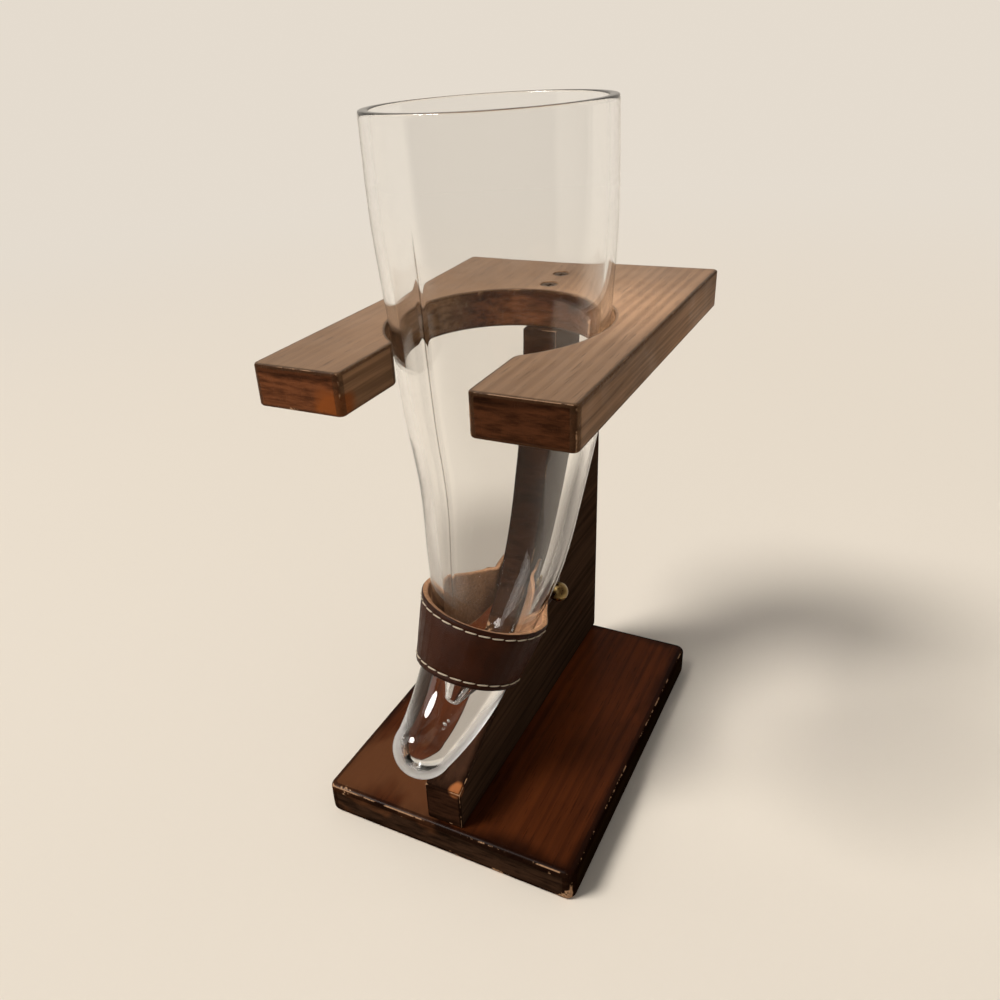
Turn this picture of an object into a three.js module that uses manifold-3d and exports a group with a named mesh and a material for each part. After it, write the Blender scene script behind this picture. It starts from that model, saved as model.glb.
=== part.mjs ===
// Drinking horn of clear glass, standing in a wooden stand and held there by a leather strap.
// Millimetres, +Z up, +X to the right and +Y to the back. The origin is at the middle of the
// base board's underside. The horn's mouth is at the top and its tip points to the front.
import * as THREE from 'three';
import { mergeVertices } from 'three/addons/utils/BufferGeometryUtils.js';
import Module from 'manifold-3d';

const wasm = await Module();
wasm.setup();

// Stand: three boards
const BOARD_WIDTH = 110;
const BOARD_DEPTH = 152.4;
const BASE_THICKNESS = 14.4;
const PLATE_THICKNESS = 14.4;
const TIP_CLEARANCE = 25.4;
const BASE_EDGE_ROUND = 2.2;
const PLATE_EDGE_ROUND = 1.2;
const UPRIGHT_THICKNESS = 15.4;
const UPRIGHT_SETBACK = 2.7;
const TOE_RUN = 24.7;
const TOE_SLOPE = 25;
const GLUE_GAP = 0.2;

// Hole and slot of the top plate
const HOLE_Y = -7.4;
const HOLE_CLEARANCE = 0.85;
const FLARE_SHIFT = 7.4;
const SLOT_START_SHARE = 0.9;
const SLOT_CLEARANCE = 0.5;

// Horn: its centre line leaves the rim almost straight down and bends forward by a power law.
// Distances along the centre line are measured from the rim.
const HORN_PROUD = 68.2;
const HORN_LENGTH = 243;
const HORN_LEAN = -2.3;
const HORN_BEND = 81.5;
const BEND_START = 20.7;
const BEND_POWER = 2.9;
const HORN_TURN = 6;
const HORN_BACK_SHIFT = 1.3;
const SADDLE_GAP = 0.35;
const MOUTH_RADIUS = 40.2;
const RIM_WALL = 3.3;
const SHOULDER_WALL = 3.6;
const LOWER_WALL = 5.5;
const SHOULDER_SHARE = 0.5;
const CAVITY_LENGTH = 220;
const CAVITY_TIP_RADIUS = 4;
const CAVITY_TAPER_START = 188;
const CAVITY_TAPER_POWER = 1.2;

// Strap: a band between an upper and a lower edge, each edge in a tilted plane
const STRAP_THICKNESS = 2.4;
const STRAP_WIDTH = 24;
const STRAP_END_WIDTH = 17;
const STRAP_FLAT = 4.8;
const STRAP_TOP_STATION = 187;
const STRAP_BOTTOM_STATION = 216.8;
const STRAP_TOP_TILT = [-0.2, -0.25];
const STRAP_BOTTOM_TILT = [-0.15, -0.39];
const STRAP_CLEARANCE = 0.4;
const STRAP_TOP_LOOSENESS = 1;
const STRAP_SAMPLES = 15;
const STRAP_END_CUT = 0.15;
const STRAP_TAIL = 14;
const STITCH_INSET = 2.3;
const STITCH_PITCH = 4.6;
const STITCH_GAP_LENGTH = 0.9;
const THREAD_WIDTH = 0.8;
const THREAD_PROUD = 0.45;
const THREAD_START = 0.3;
const GROOVE_DEPTH = 1.2;
const GROOVE_SIDE_GAP = 0.3;
const GROOVE_FLARE = 1.3;

// Studs that the strap's ends button onto
const STUD_DROP = 118.6;
const STUD_SET_IN = 13;
const STUD_BALL_RADIUS = 4.2;
const STUD_NECK_RADIUS = 1.8;
const STUD_FLANGE_RADIUS = 3.4;
const STUD_FLANGE_THICKNESS = 0.7;
const STUD_SHANK_RADIUS = 1.5;
const STUD_SHANK_LENGTH = 6;
const STUD_TIP_LENGTH = 1;
const STUD_GAP = 0.3;
const STUD_NECK_PLAY = 0.9;
const KEYHOLE_CLEARANCE = 0.5;
const KEYHOLE_SLIT = { length: 7, width: 0.8 };

// Wood screws
const SCREW_HEAD_RADIUS = 3.9;
const SCREW_SHANK_RADIUS = 2;
const SCREW_HEAD_RIM = 0.4;
const SCREW_TIP_LENGTH = 4;
const SCREW_POINT_ROOM = 0.3;
const SCREW_SINK = 0.4;
const SCREW_CLEARANCE = 0.3;
const PLATE_SCREW_LENGTH = 42;
const BASE_SCREW_LENGTH = 34;
const PLATE_SCREW_BEHIND_HOLE = 9.2;
const PLATE_SCREW_FROM_BACK = 18.7;
const BASE_SCREW_FROM_FRONT = 28.2;
const BASE_SCREW_MIDDLE_Y = 12;
const BASE_SCREW_FROM_BACK = 18.2;
const RECESS_WIDTH = 0.9;
const RECESS_DEPTH = 1.4;

// Turned pieces' faces round their axis, and how far a cutter runs past a face
const TURNED_SEGMENTS = 20;
const CUT_OVERRUN = 1;

const rad = THREE.MathUtils.degToRad;
const BOARD_FRONT = -BOARD_DEPTH / 2;
const BOARD_BACK = BOARD_DEPTH / 2;

// Colours and finishes
function material(color, roughness, metalness = 0) {
  return new THREE.MeshStandardMaterial({ color, roughness, metalness });
}

function wood(color) {
  return material(color, 0.45);
}

function glass() {
  const clear = material(0xe6eceb, 0.04);
  clear.transparent = true;
  clear.opacity = 0.35;
  return clear;
}

// Solids: from a three.js geometry to a manifold and back
function toSolid(geometry) {
  const bare = geometry.clone();
  bare.deleteAttribute('normal');
  bare.deleteAttribute('uv');
  const merged = mergeVertices(bare, 1e-4);
  return new wasm.Manifold(new wasm.Mesh({
    numProp: 3,
    vertProperties: new Float32Array(merged.attributes.position.array),
    triVerts: new Uint32Array(merged.index.array),
  }));
}

function toGeometry(solid) {
  const mesh = solid.getMesh();
  const geometry = new THREE.BufferGeometry();
  geometry.setAttribute('position', new THREE.BufferAttribute(mesh.vertProperties, 3));
  geometry.setIndex(new THREE.BufferAttribute(mesh.triVerts, 1));
  geometry.computeVertexNormals();
  return geometry;
}

function cutFrom(geometry, cutters) {
  const solid = cutters.reduce((rest, cutter) => rest.subtract(toSolid(cutter)), toSolid(geometry));
  return toGeometry(solid);
}

// A closed skin over rings of equal length, with a fan over each end
function skinRings(rings) {
  const count = rings[0].length;
  const points = rings.flat();
  const faces = [];
  for (let i = 0; i < rings.length - 1; i++) {
    const here = i * count;
    const next = here + count;
    for (let j = 0; j < count; j++) {
      const k = (j + 1) % count;
      faces.push(here + j, next + j, next + k, here + j, next + k, here + k);
    }
  }
  addFan(points, faces, rings[0], 0, true);
  addFan(points, faces, rings[rings.length - 1], (rings.length - 1) * count, false);
  const places = points.flatMap((point) => point.toArray());
  const geometry = new THREE.BufferGeometry();
  geometry.setAttribute('position', new THREE.Float32BufferAttribute(places, 3));
  geometry.setIndex(faces);
  geometry.computeVertexNormals();
  return geometry;
}

function addFan(points, faces, ring, start, first) {
  const centre = ring.reduce((sum, p) => sum.add(p), new THREE.Vector3()).divideScalar(ring.length);
  const hub = points.length;
  points.push(centre);
  for (let j = 0; j < ring.length; j++) {
    const k = (j + 1) % ring.length;
    if (first) {
      faces.push(hub, start + j, start + k);
    } else {
      faces.push(hub, start + k, start + j);
    }
  }
}

// Taper of the horn: share of its length, and radius there as a share of the mouth's
const HORN_TAPER = [
  [0, 1],
  [0.136, 1.005],
  [0.284, 0.954],
  [0.412, 0.9],
  [0.543, 0.776],
  [0.667, 0.662],
  [0.782, 0.493],
  [0.889, 0.413],
  [1, 0.291],
];
const taperStations = HORN_TAPER.map(([share]) => share * HORN_LENGTH);
const taperRadii = HORN_TAPER.map(([, share]) => share * MOUTH_RADIUS);
const radiusCurve = new THREE.CubicInterpolant(taperStations, taperRadii, 1);

function hornRadius(station) {
  return radiusCurve.evaluate(THREE.MathUtils.clamp(station, 0, HORN_LENGTH))[0];
}

function hornAngle(station) {
  const share = Math.max(0, station - BEND_START) / (HORN_LENGTH - BEND_START);
  return rad(HORN_LEAN + HORN_BEND * share ** BEND_POWER);
}

// Centre line, tabulated by stepping along the bend formula, with its start at the rim
function traceSpine(step) {
  const line = [{ station: 0, y: 0, z: 0 }];
  for (let s = 0; s < HORN_LENGTH - step / 2; s += step) {
    const angle = hornAngle(s + step / 2);
    const before = line[line.length - 1];
    line.push({
      station: s + step,
      y: before.y - Math.sin(angle) * step,
      z: before.z - Math.cos(angle) * step,
    });
  }
  return line;
}

const SPINE_STEP = HORN_LENGTH / 486;
const hangingSpine = traceSpine(SPINE_STEP);

// The stand is as tall as the horn needs below the plate, with the tip clear of the base
const undersides = hangingSpine.map((p) => p.z - hornRadius(p.station) * Math.sin(hornAngle(p.station)));
const STAND_HEIGHT = BASE_THICKNESS + TIP_CLEARANCE - Math.min(...undersides) - HORN_PROUD;
const PLATE_UNDERSIDE = STAND_HEIGHT - PLATE_THICKNESS;
const spine = hangingSpine.map((p) => ({ ...p, z: p.z + STAND_HEIGHT + HORN_PROUD }));
const plateStation = spine.find((p) => p.z <= STAND_HEIGHT).station;

function onSpine(station) {
  const place = THREE.MathUtils.clamp(station / SPINE_STEP, 0, spine.length - 1);
  const i = Math.min(Math.floor(place), spine.length - 2);
  const share = place - i;
  const y = THREE.MathUtils.lerp(spine[i].y, spine[i + 1].y, share);
  const z = THREE.MathUtils.lerp(spine[i].z, spine[i + 1].z, share);
  return { y, z };
}

const plateY = onSpine(plateStation).y;
const hornY = HOLE_Y - HORN_BACK_SHIFT;
const turn = rad(HORN_TURN);

// Cross-sections stay level from the rim, which is cut level, down to where the spine turns forward
function sectionTilt(station) {
  return Math.max(0, hornAngle(station));
}

// Point of the horn at a station, a distance across its spine and a direction round it.
// Direction 0 is the back or underside, a quarter turn is the right side.
function hornPoint(station, distance, direction) {
  const centre = onSpine(station);
  const tilt = sectionTilt(station);
  const back = distance * Math.cos(direction);
  const side = distance * Math.sin(direction);
  const y = centre.y - plateY + back * Math.cos(tilt);
  const z = centre.z - back * Math.sin(tilt);
  return placeHornPoint(side, y, z);
}

function placeHornPoint(x, y, z) {
  const turned = new THREE.Vector3(x, y, 0).applyAxisAngle(new THREE.Vector3(0, 0, 1), -turn);
  return new THREE.Vector3(turned.x, turned.y + hornY, z);
}

function hornRing(station, radius, count) {
  return Array.from({ length: count }, (_, i) => hornPoint(station, radius, (i / count) * 2 * Math.PI));
}

// Gap from a point to the outer surface of the glass
const spinePoints = spine.filter((_, i) => i % 3 === 0).map((p) => ({
  centre: placeHornPoint(0, p.y - plateY, p.z),
  radius: hornRadius(p.station),
}));

function gapToHorn(point) {
  let nearest = Infinity;
  let gap = Infinity;
  for (const place of spinePoints) {
    const distance = place.centre.distanceTo(point);
    if (distance < nearest) {
      nearest = distance;
      gap = distance - place.radius;
    }
  }
  return gap;
}

// Part of a round end's last step that its closing fan takes
const FAN_SHARE = 0.25;

// Glass wall: thin at the rim, thicker down the horn
function wallAt(station) {
  const share = station / CAVITY_LENGTH;
  if (share < SHOULDER_SHARE) {
    return THREE.MathUtils.lerp(RIM_WALL, SHOULDER_WALL, share / SHOULDER_SHARE);
  }
  return THREE.MathUtils.lerp(SHOULDER_WALL, LOWER_WALL, (share - SHOULDER_SHARE) / (1 - SHOULDER_SHARE));
}

function cavityRadius(station) {
  const open = hornRadius(station) - wallAt(station);
  if (station < CAVITY_TAPER_START) {
    return open;
  }
  const share = (station - CAVITY_TAPER_START) / (CAVITY_LENGTH - CAVITY_TAPER_START);
  return THREE.MathUtils.lerp(open, CAVITY_TIP_RADIUS, share ** CAVITY_TAPER_POWER);
}

function glassHorn() {
  const around = 36;
  const outerSteps = 28;
  const innerSteps = 22;
  const rimSteps = 4;
  const rings = capRings(HORN_LENGTH, hornRadius(HORN_LENGTH), 5, around).reverse();
  for (let i = 0; i <= outerSteps; i++) {
    const station = THREE.MathUtils.lerp(HORN_LENGTH, RIM_WALL / 2, i / outerSteps);
    rings.push(hornRing(station, hornRadius(station), around));
  }
  for (let i = 1; i <= rimSteps; i++) {
    const angle = (i / (rimSteps + 1)) * Math.PI;
    const station = (RIM_WALL / 2) * (1 - Math.sin(angle));
    const radius = hornRadius(0) - (RIM_WALL / 2) * (1 - Math.cos(angle));
    rings.push(hornRing(station, radius, around));
  }
  for (let i = 0; i <= innerSteps; i++) {
    const station = THREE.MathUtils.lerp(RIM_WALL / 2, CAVITY_LENGTH, i / innerSteps);
    rings.push(hornRing(station, cavityRadius(station), around));
  }
  rings.push(...capRings(CAVITY_LENGTH, CAVITY_TIP_RADIUS, 3, around));
  return skinRings(rings);
}

// Rings of a round end that goes on from a station in the spine's direction there.
// The last ring stays open, and a fan closes it.
function capRings(station, radius, steps, around) {
  const slope = hornAngle(station);
  const ahead = placeHornPoint(0, -Math.sin(slope), 0).sub(placeHornPoint(0, 0, 0));
  ahead.z = -Math.cos(slope);
  return Array.from({ length: steps }, (_, i) => {
    const angle = ((i + 1) / (steps + FAN_SHARE)) * (Math.PI / 2);
    const ring = hornRing(station, radius * Math.cos(angle), around);
    return ring.map((point) => point.addScaledVector(ahead, radius * Math.sin(angle)));
  });
}

// Boards
function roundedSlab(shape, thickness, edgeRound) {
  const geometry = new THREE.ExtrudeGeometry(shape, {
    depth: thickness - 2 * edgeRound,
    bevelEnabled: true,
    bevelThickness: edgeRound,
    bevelSize: edgeRound,
    bevelOffset: -edgeRound,
    bevelSegments: 2,
    curveSegments: 14,
  });
  geometry.translate(0, 0, edgeRound);
  return geometry;
}

function boardOutline() {
  const half = BOARD_WIDTH / 2;
  const shape = new THREE.Shape();
  shape.moveTo(-half, BOARD_FRONT);
  shape.lineTo(half, BOARD_FRONT);
  shape.lineTo(half, BOARD_BACK);
  shape.lineTo(-half, BOARD_BACK);
  shape.closePath();
  return shape;
}

const baseScrewY = {
  front: BOARD_FRONT + BASE_SCREW_FROM_FRONT,
  middle: BASE_SCREW_MIDDLE_Y,
  rear: BOARD_BACK - BASE_SCREW_FROM_BACK,
};

function baseBoard() {
  const holes = Object.values(baseScrewY).map((y) => screwHole(y, 0, 1, BASE_THICKNESS));
  return cutFrom(roundedSlab(boardOutline(), BASE_THICKNESS, BASE_EDGE_ROUND), holes);
}

const holeRadius = hornRadius(plateStation) + HOLE_CLEARANCE;
const plateScrewY = {
  front: HOLE_Y + holeRadius + PLATE_SCREW_BEHIND_HOLE,
  rear: BOARD_BACK - PLATE_SCREW_FROM_BACK,
};

// Widest sideways reach of the horn's lower end, which passes through the slot when it lifts out
function tailReach() {
  const slotStart = HOLE_Y - SLOT_START_SHARE * holeRadius;
  const passing = spinePoints.filter((place) => place.centre.y < slotStart);
  return Math.max(...passing.map((place) => Math.abs(place.centre.x) + place.radius));
}

const slotHalf = tailReach() + SLOT_CLEARANCE;

// The hole is a half circle at the back and a wider arc on each side that runs into the slot
function plateOutline() {
  const half = BOARD_WIDTH / 2;
  const flareRadius = holeRadius + FLARE_SHIFT;
  const flareEnd = Math.asin((slotHalf + FLARE_SHIFT) / flareRadius);
  const cornerY = HOLE_Y - flareRadius * Math.cos(flareEnd);
  const shape = new THREE.Shape();
  shape.moveTo(-half, BOARD_FRONT);
  shape.lineTo(-slotHalf, BOARD_FRONT);
  shape.lineTo(-slotHalf, cornerY);
  shape.absarc(FLARE_SHIFT, HOLE_Y, flareRadius, -Math.PI / 2 - flareEnd, -Math.PI, true);
  shape.absarc(0, HOLE_Y, holeRadius, Math.PI, 0, true);
  shape.absarc(-FLARE_SHIFT, HOLE_Y, flareRadius, 0, -Math.PI / 2 + flareEnd, true);
  shape.lineTo(slotHalf, BOARD_FRONT);
  shape.lineTo(half, BOARD_FRONT);
  shape.lineTo(half, BOARD_BACK);
  shape.lineTo(-half, BOARD_BACK);
  shape.closePath();
  return shape;
}

function topPlate() {
  const slab = roundedSlab(plateOutline(), PLATE_THICKNESS, PLATE_EDGE_ROUND);
  slab.translate(0, 0, PLATE_UNDERSIDE);
  const holes = Object.values(plateScrewY).map((y) => screwHole(y, STAND_HEIGHT, -1, PLATE_THICKNESS));
  return cutFrom(slab, holes);
}

// Edge of the upright that the horn leans on, from the top down to where the straight toe starts
function saddleEdge() {
  const toeStart = BOARD_FRONT + UPRIGHT_SETBACK + TOE_RUN;
  const edge = [];
  const step = HORN_LENGTH / 60;
  for (let s = plateStation; s <= HORN_LENGTH; s += step) {
    const point = hornPoint(s, hornRadius(s) + SADDLE_GAP, 0);
    if (point.y < toeStart) {
      break;
    }
    if (point.z < PLATE_UNDERSIDE - GLUE_GAP) {
      edge.push(new THREE.Vector2(point.y, point.z));
    }
  }
  return edge;
}

const saddle = saddleEdge();

function saddleY(height) {
  return saddle.find((p) => p.y <= height).x;
}

function upright() {
  const top = PLATE_UNDERSIDE - GLUE_GAP;
  const bottom = BASE_THICKNESS + GLUE_GAP;
  const toeFront = BOARD_FRONT + UPRIGHT_SETBACK;
  const start = saddle[saddle.length - 1];
  const toeTop = start.y - (start.x - toeFront) * Math.tan(rad(TOE_SLOPE));
  const outline = [
    new THREE.Vector2(toeFront, bottom),
    new THREE.Vector2(BOARD_BACK, bottom),
    new THREE.Vector2(BOARD_BACK, top),
    new THREE.Vector2(saddle[0].x, top),
    ...saddle,
    new THREE.Vector2(toeFront, toeTop),
  ];
  const board = new THREE.ExtrudeGeometry(new THREE.Shape(outline), {
    depth: UPRIGHT_THICKNESS,
    bevelEnabled: false,
  });
  board.applyMatrix4(new THREE.Matrix4().makeBasis(
    new THREE.Vector3(0, 1, 0),
    new THREE.Vector3(0, 0, 1),
    new THREE.Vector3(1, 0, 0),
  ));
  board.translate(-UPRIGHT_THICKNESS / 2, 0, 0);
  const pilots = [
    ...Object.values(plateScrewY).map((y) => pilotHole(y, STAND_HEIGHT, -1, PLATE_SCREW_LENGTH)),
    ...Object.values(baseScrewY).map((y) => pilotHole(y, 0, 1, BASE_SCREW_LENGTH)),
    studPilot(1),
    studPilot(-1),
  ];
  return cutFrom(board, pilots);
}

// Countersunk screws along Z. The head lies at height z and the screw points along way.
function turnedAlongZ(profile, z, way, y) {
  const geometry = new THREE.LatheGeometry(profile, TURNED_SEGMENTS);
  geometry.rotateX(Math.PI / 2);
  if (way < 0) {
    geometry.rotateX(Math.PI);
  }
  geometry.translate(0, y, z);
  return geometry;
}

function screwHole(y, z, way, thickness) {
  const head = SCREW_HEAD_RADIUS + SCREW_CLEARANCE;
  const shank = SCREW_SHANK_RADIUS + SCREW_CLEARANCE;
  const straight = SCREW_SINK + SCREW_CLEARANCE;
  return turnedAlongZ([
    new THREE.Vector2(0, -CUT_OVERRUN),
    new THREE.Vector2(head, -CUT_OVERRUN),
    new THREE.Vector2(head, straight),
    new THREE.Vector2(shank, straight + head - shank),
    new THREE.Vector2(shank, thickness + CUT_OVERRUN),
    new THREE.Vector2(0, thickness + CUT_OVERRUN),
  ], z, way, y);
}

function pilotHole(y, z, way, length) {
  const shank = SCREW_SHANK_RADIUS + SCREW_CLEARANCE;
  const end = length + SCREW_SINK + SCREW_CLEARANCE;
  return turnedAlongZ([
    new THREE.Vector2(0, 0),
    new THREE.Vector2(shank, 0),
    new THREE.Vector2(shank, end - SCREW_TIP_LENGTH),
    new THREE.Vector2(SCREW_POINT_ROOM, end),
    new THREE.Vector2(0, end),
  ], z, way, y);
}

function screw(y, z, way, length) {
  const body = turnedAlongZ([
    new THREE.Vector2(0, 0),
    new THREE.Vector2(SCREW_HEAD_RADIUS, 0),
    new THREE.Vector2(SCREW_HEAD_RADIUS, SCREW_HEAD_RIM),
    new THREE.Vector2(SCREW_SHANK_RADIUS, SCREW_HEAD_RIM + SCREW_HEAD_RADIUS - SCREW_SHANK_RADIUS),
    new THREE.Vector2(SCREW_SHANK_RADIUS, length - SCREW_TIP_LENGTH),
    new THREE.Vector2(0, length),
  ], z + way * SCREW_SINK, way, y);
  const arm = 2 * SCREW_SHANK_RADIUS;
  const recess = [[arm, RECESS_WIDTH], [RECESS_WIDTH, arm]].map(([across, along]) => {
    const bar = new THREE.BoxGeometry(across, along, 2 * RECESS_DEPTH);
    bar.translate(0, y, z + way * SCREW_SINK);
    return bar;
  });
  return cutFrom(body, recess);
}

// Studs: a threaded shank, a flange on the wood, a neck through the strap and a ball
const studZ = STAND_HEIGHT - STUD_DROP;
const studY = saddleY(studZ) + STUD_SET_IN;
const strapInner = UPRIGHT_THICKNESS / 2 + STUD_GAP + STUD_FLANGE_THICKNESS + STUD_GAP;
const strapOuter = strapInner + STRAP_THICKNESS;

function turnedAlongX(profile, x, side) {
  const geometry = new THREE.LatheGeometry(profile, TURNED_SEGMENTS);
  geometry.rotateZ(-Math.PI / 2);
  if (side < 0) {
    geometry.rotateZ(Math.PI);
  }
  geometry.translate(side * x, studY, studZ);
  return geometry;
}

function stud(side) {
  const neckJoin = Math.sqrt(STUD_BALL_RADIUS ** 2 - STUD_NECK_RADIUS ** 2);
  const flangeStart = STUD_GAP;
  const flangeEnd = flangeStart + STUD_FLANGE_THICKNESS;
  const ballCentre = strapOuter - UPRIGHT_THICKNESS / 2 + STUD_NECK_PLAY + neckJoin;
  const profile = [
    new THREE.Vector2(0, -STUD_SHANK_LENGTH),
    new THREE.Vector2(STUD_SHANK_RADIUS, -STUD_SHANK_LENGTH + STUD_TIP_LENGTH),
    new THREE.Vector2(STUD_SHANK_RADIUS, flangeStart),
    new THREE.Vector2(STUD_FLANGE_RADIUS, flangeStart),
    new THREE.Vector2(STUD_FLANGE_RADIUS, flangeEnd),
    new THREE.Vector2(STUD_NECK_RADIUS, flangeEnd),
    new THREE.Vector2(STUD_NECK_RADIUS, ballCentre - neckJoin),
  ];
  const start = Math.asin(STUD_NECK_RADIUS / STUD_BALL_RADIUS);
  const steps = 9;
  for (let i = 1; i <= steps; i++) {
    const angle = start + (i / steps) * (Math.PI - start);
    const radius = i === steps ? 0 : STUD_BALL_RADIUS * Math.sin(angle);
    profile.push(new THREE.Vector2(radius, ballCentre - STUD_BALL_RADIUS * Math.cos(angle)));
  }
  return turnedAlongX(profile, UPRIGHT_THICKNESS / 2, side);
}

function studPilot(side) {
  const radius = STUD_SHANK_RADIUS + STUD_GAP;
  return turnedAlongX([
    new THREE.Vector2(0, -STUD_SHANK_LENGTH - STUD_GAP),
    new THREE.Vector2(radius, -STUD_SHANK_LENGTH - STUD_GAP),
    new THREE.Vector2(radius, CUT_OVERRUN),
    new THREE.Vector2(0, CUT_OVERRUN),
  ], UPRIGHT_THICKNESS / 2, side);
}

// Strap edges: each lies in a tilted plane, round the front of the horn and straight to the studs
const tailPoints = [STRAP_TAIL, STRAP_TAIL / 2, 0, -STRAP_FLAT];

function edge(station, tilt, clearance) {
  const front = hornPoint(station, hornRadius(station) + clearance, Math.PI);
  return { plane: (x, y) => front.z + tilt[0] * (x - front.x) + tilt[1] * (y - front.y), clearance };
}

const upper = edge(STRAP_TOP_STATION, STRAP_TOP_TILT, STRAP_CLEARANCE + STRAP_TOP_LOOSENESS);
const lower = edge(STRAP_BOTTOM_STATION, STRAP_BOTTOM_TILT, STRAP_CLEARANCE);

// Point clear of the glass where the horn's line in one direction crosses an edge's plane
function wrapPoint({ plane, clearance }, direction) {
  let above = plateStation;
  let below = HORN_LENGTH;
  const pointAt = (station) => hornPoint(station, hornRadius(station) + clearance, direction);
  while (below - above > 0.001) {
    const middle = (above + below) / 2;
    const point = pointAt(middle);
    if (point.z > plane(point.x, point.y)) {
      above = middle;
    } else {
      below = middle;
    }
  }
  return pointAt(below);
}

// Direction round the horn in which a straight run from the stud just touches the band.
// It is looked for between these angles from the front.
const LEAVING_SEARCH = { from: 40, to: 150, step: 2 };

function leavingDirection(side) {
  const startX = side * strapInner;
  const startY = studY - STRAP_FLAT;
  let best = { slant: -Infinity, direction: Math.PI };
  for (let turned = LEAVING_SEARCH.from; turned <= LEAVING_SEARCH.to; turned += LEAVING_SEARCH.step) {
    const direction = Math.PI - side * rad(turned);
    const point = wrapPoint(upper, direction).lerp(wrapPoint(lower, direction), 0.5);
    const slant = (side * (point.x - startX)) / (startY - point.y);
    if (startY > point.y && slant > best.slant) {
      best = { slant, direction };
    }
  }
  return best.direction;
}

const leaving = [leavingDirection(-1), leavingDirection(1)];

function strapEdge(place, endZ) {
  const ends = (side) => tailPoints.map((y) => new THREE.Vector3(side * strapInner, studY + y, endZ));
  const wrap = Array.from({ length: STRAP_SAMPLES }, (_, i) => {
    return wrapPoint(place, THREE.MathUtils.lerp(...leaving, i / (STRAP_SAMPLES - 1)));
  });
  return new THREE.CatmullRomCurve3([...ends(-1), ...wrap, ...ends(1).reverse()], false, 'centripetal');
}

const upperEdge = strapEdge(upper, studZ + STRAP_END_WIDTH / 2);
const lowerEdge = strapEdge(lower, studZ - STRAP_END_WIDTH / 2);
const strapSpans = upperEdge.points.length - 1;
const stitchedSpans = [tailPoints.length, strapSpans - tailPoints.length];

// Moves a straight cross-section out where the glass bulges between its edges
function pushOut(centre, up, out) {
  const shares = [-0.5, -0.35, -0.2, -0.1, 0, 0.1, 0.2, 0.35, 0.5];
  for (let pass = 0; pass < 4; pass++) {
    const gaps = shares.map((share) => gapToHorn(centre.clone().addScaledVector(up, share)));
    centre.addScaledVector(out, Math.max(0, STRAP_CLEARANCE - Math.min(...gaps)));
  }
}

// One cross-section of the strap: its inner edges and the way out of the leather.
// The strap's ends are rounded: there the section narrows with its distance from the end.
function strapSection(span) {
  const share = span / strapSpans;
  const top = upperEdge.getPoint(share);
  const bottom = lowerEdge.getPoint(share);
  const centre = top.clone().add(bottom).multiplyScalar(0.5);
  const along = upperEdge.getTangent(share).add(lowerEdge.getTangent(share));
  const up = top.clone().sub(bottom);
  const out = along.cross(up).normalize();
  pushOut(centre, up, out);
  const fromEnd = studY + STRAP_TAIL - centre.y;
  const round = STRAP_END_WIDTH / 2;
  if (fromEnd < round) {
    const fromRound = round - Math.max(fromEnd, STRAP_END_CUT);
    up.multiplyScalar(Math.sqrt(round ** 2 - fromRound ** 2) / round);
  }
  const grooved = span >= stitchedSpans[0] && span <= stitchedSpans[1];
  return { centre, up, out, depth: grooved ? GROOVE_DEPTH : 0 };
}

// Sections lie close together on the round ends and on the straight runs to the studs
const TAIL_SPANS = [0, 0.06, 0.2, 0.45, 0.75, 1.1, 1.5, 2, 2.5, 2.8];
const RUN_START = 3.05;
const RUN_STEP = 0.15;
const RUN_STEPS = 7;
const WRAP_STEP = 0.4;

function strapSections() {
  const run = Array.from({ length: RUN_STEPS }, (_, i) => RUN_START + i * RUN_STEP);
  const half = [...TAIL_SPANS, ...run];
  const wrapStart = run[RUN_STEPS - 1];
  const wrapSteps = Math.round((strapSpans - 2 * wrapStart) / WRAP_STEP);
  const wrap = Array.from({ length: wrapSteps - 1 }, (_, i) => {
    return THREE.MathUtils.lerp(wrapStart, strapSpans - wrapStart, (i + 1) / wrapSteps);
  });
  const all = [...half, ...wrap, ...half.map((span) => strapSpans - span).reverse()];
  return all.map(strapSection);
}

const sections = strapSections();

// Point on a section: a share of the width from the middle, and a height out of the inner face
function sectionPoint(section, across, out) {
  return section.centre.clone().addScaledVector(section.up, across).addScaledVector(section.out, out);
}

const stitchShare = 0.5 - STITCH_INSET / STRAP_WIDTH;
const grooveBottomShare = (THREAD_WIDTH / 2 + GROOVE_SIDE_GAP) / STRAP_WIDTH;
const grooveTopShare = grooveBottomShare * GROOVE_FLARE;

function leatherStrap() {
  const rings = sections.map((section) => {
    const floor = STRAP_THICKNESS - section.depth;
    const groove = (middle) => [
      [middle - grooveTopShare, STRAP_THICKNESS],
      [middle - grooveBottomShare, floor],
      [middle + grooveBottomShare, floor],
      [middle + grooveTopShare, STRAP_THICKNESS],
    ];
    const outline = [
      [0.5, 0],
      [-0.5, 0],
      [-0.5, STRAP_THICKNESS],
      ...groove(-stitchShare),
      ...groove(stitchShare),
      [0.5, STRAP_THICKNESS],
    ];
    return outline.map(([across, out]) => sectionPoint(section, across, out));
  });
  return cutFrom(skinRings(rings), [keyhole(1), keyhole(-1)]);
}

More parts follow.
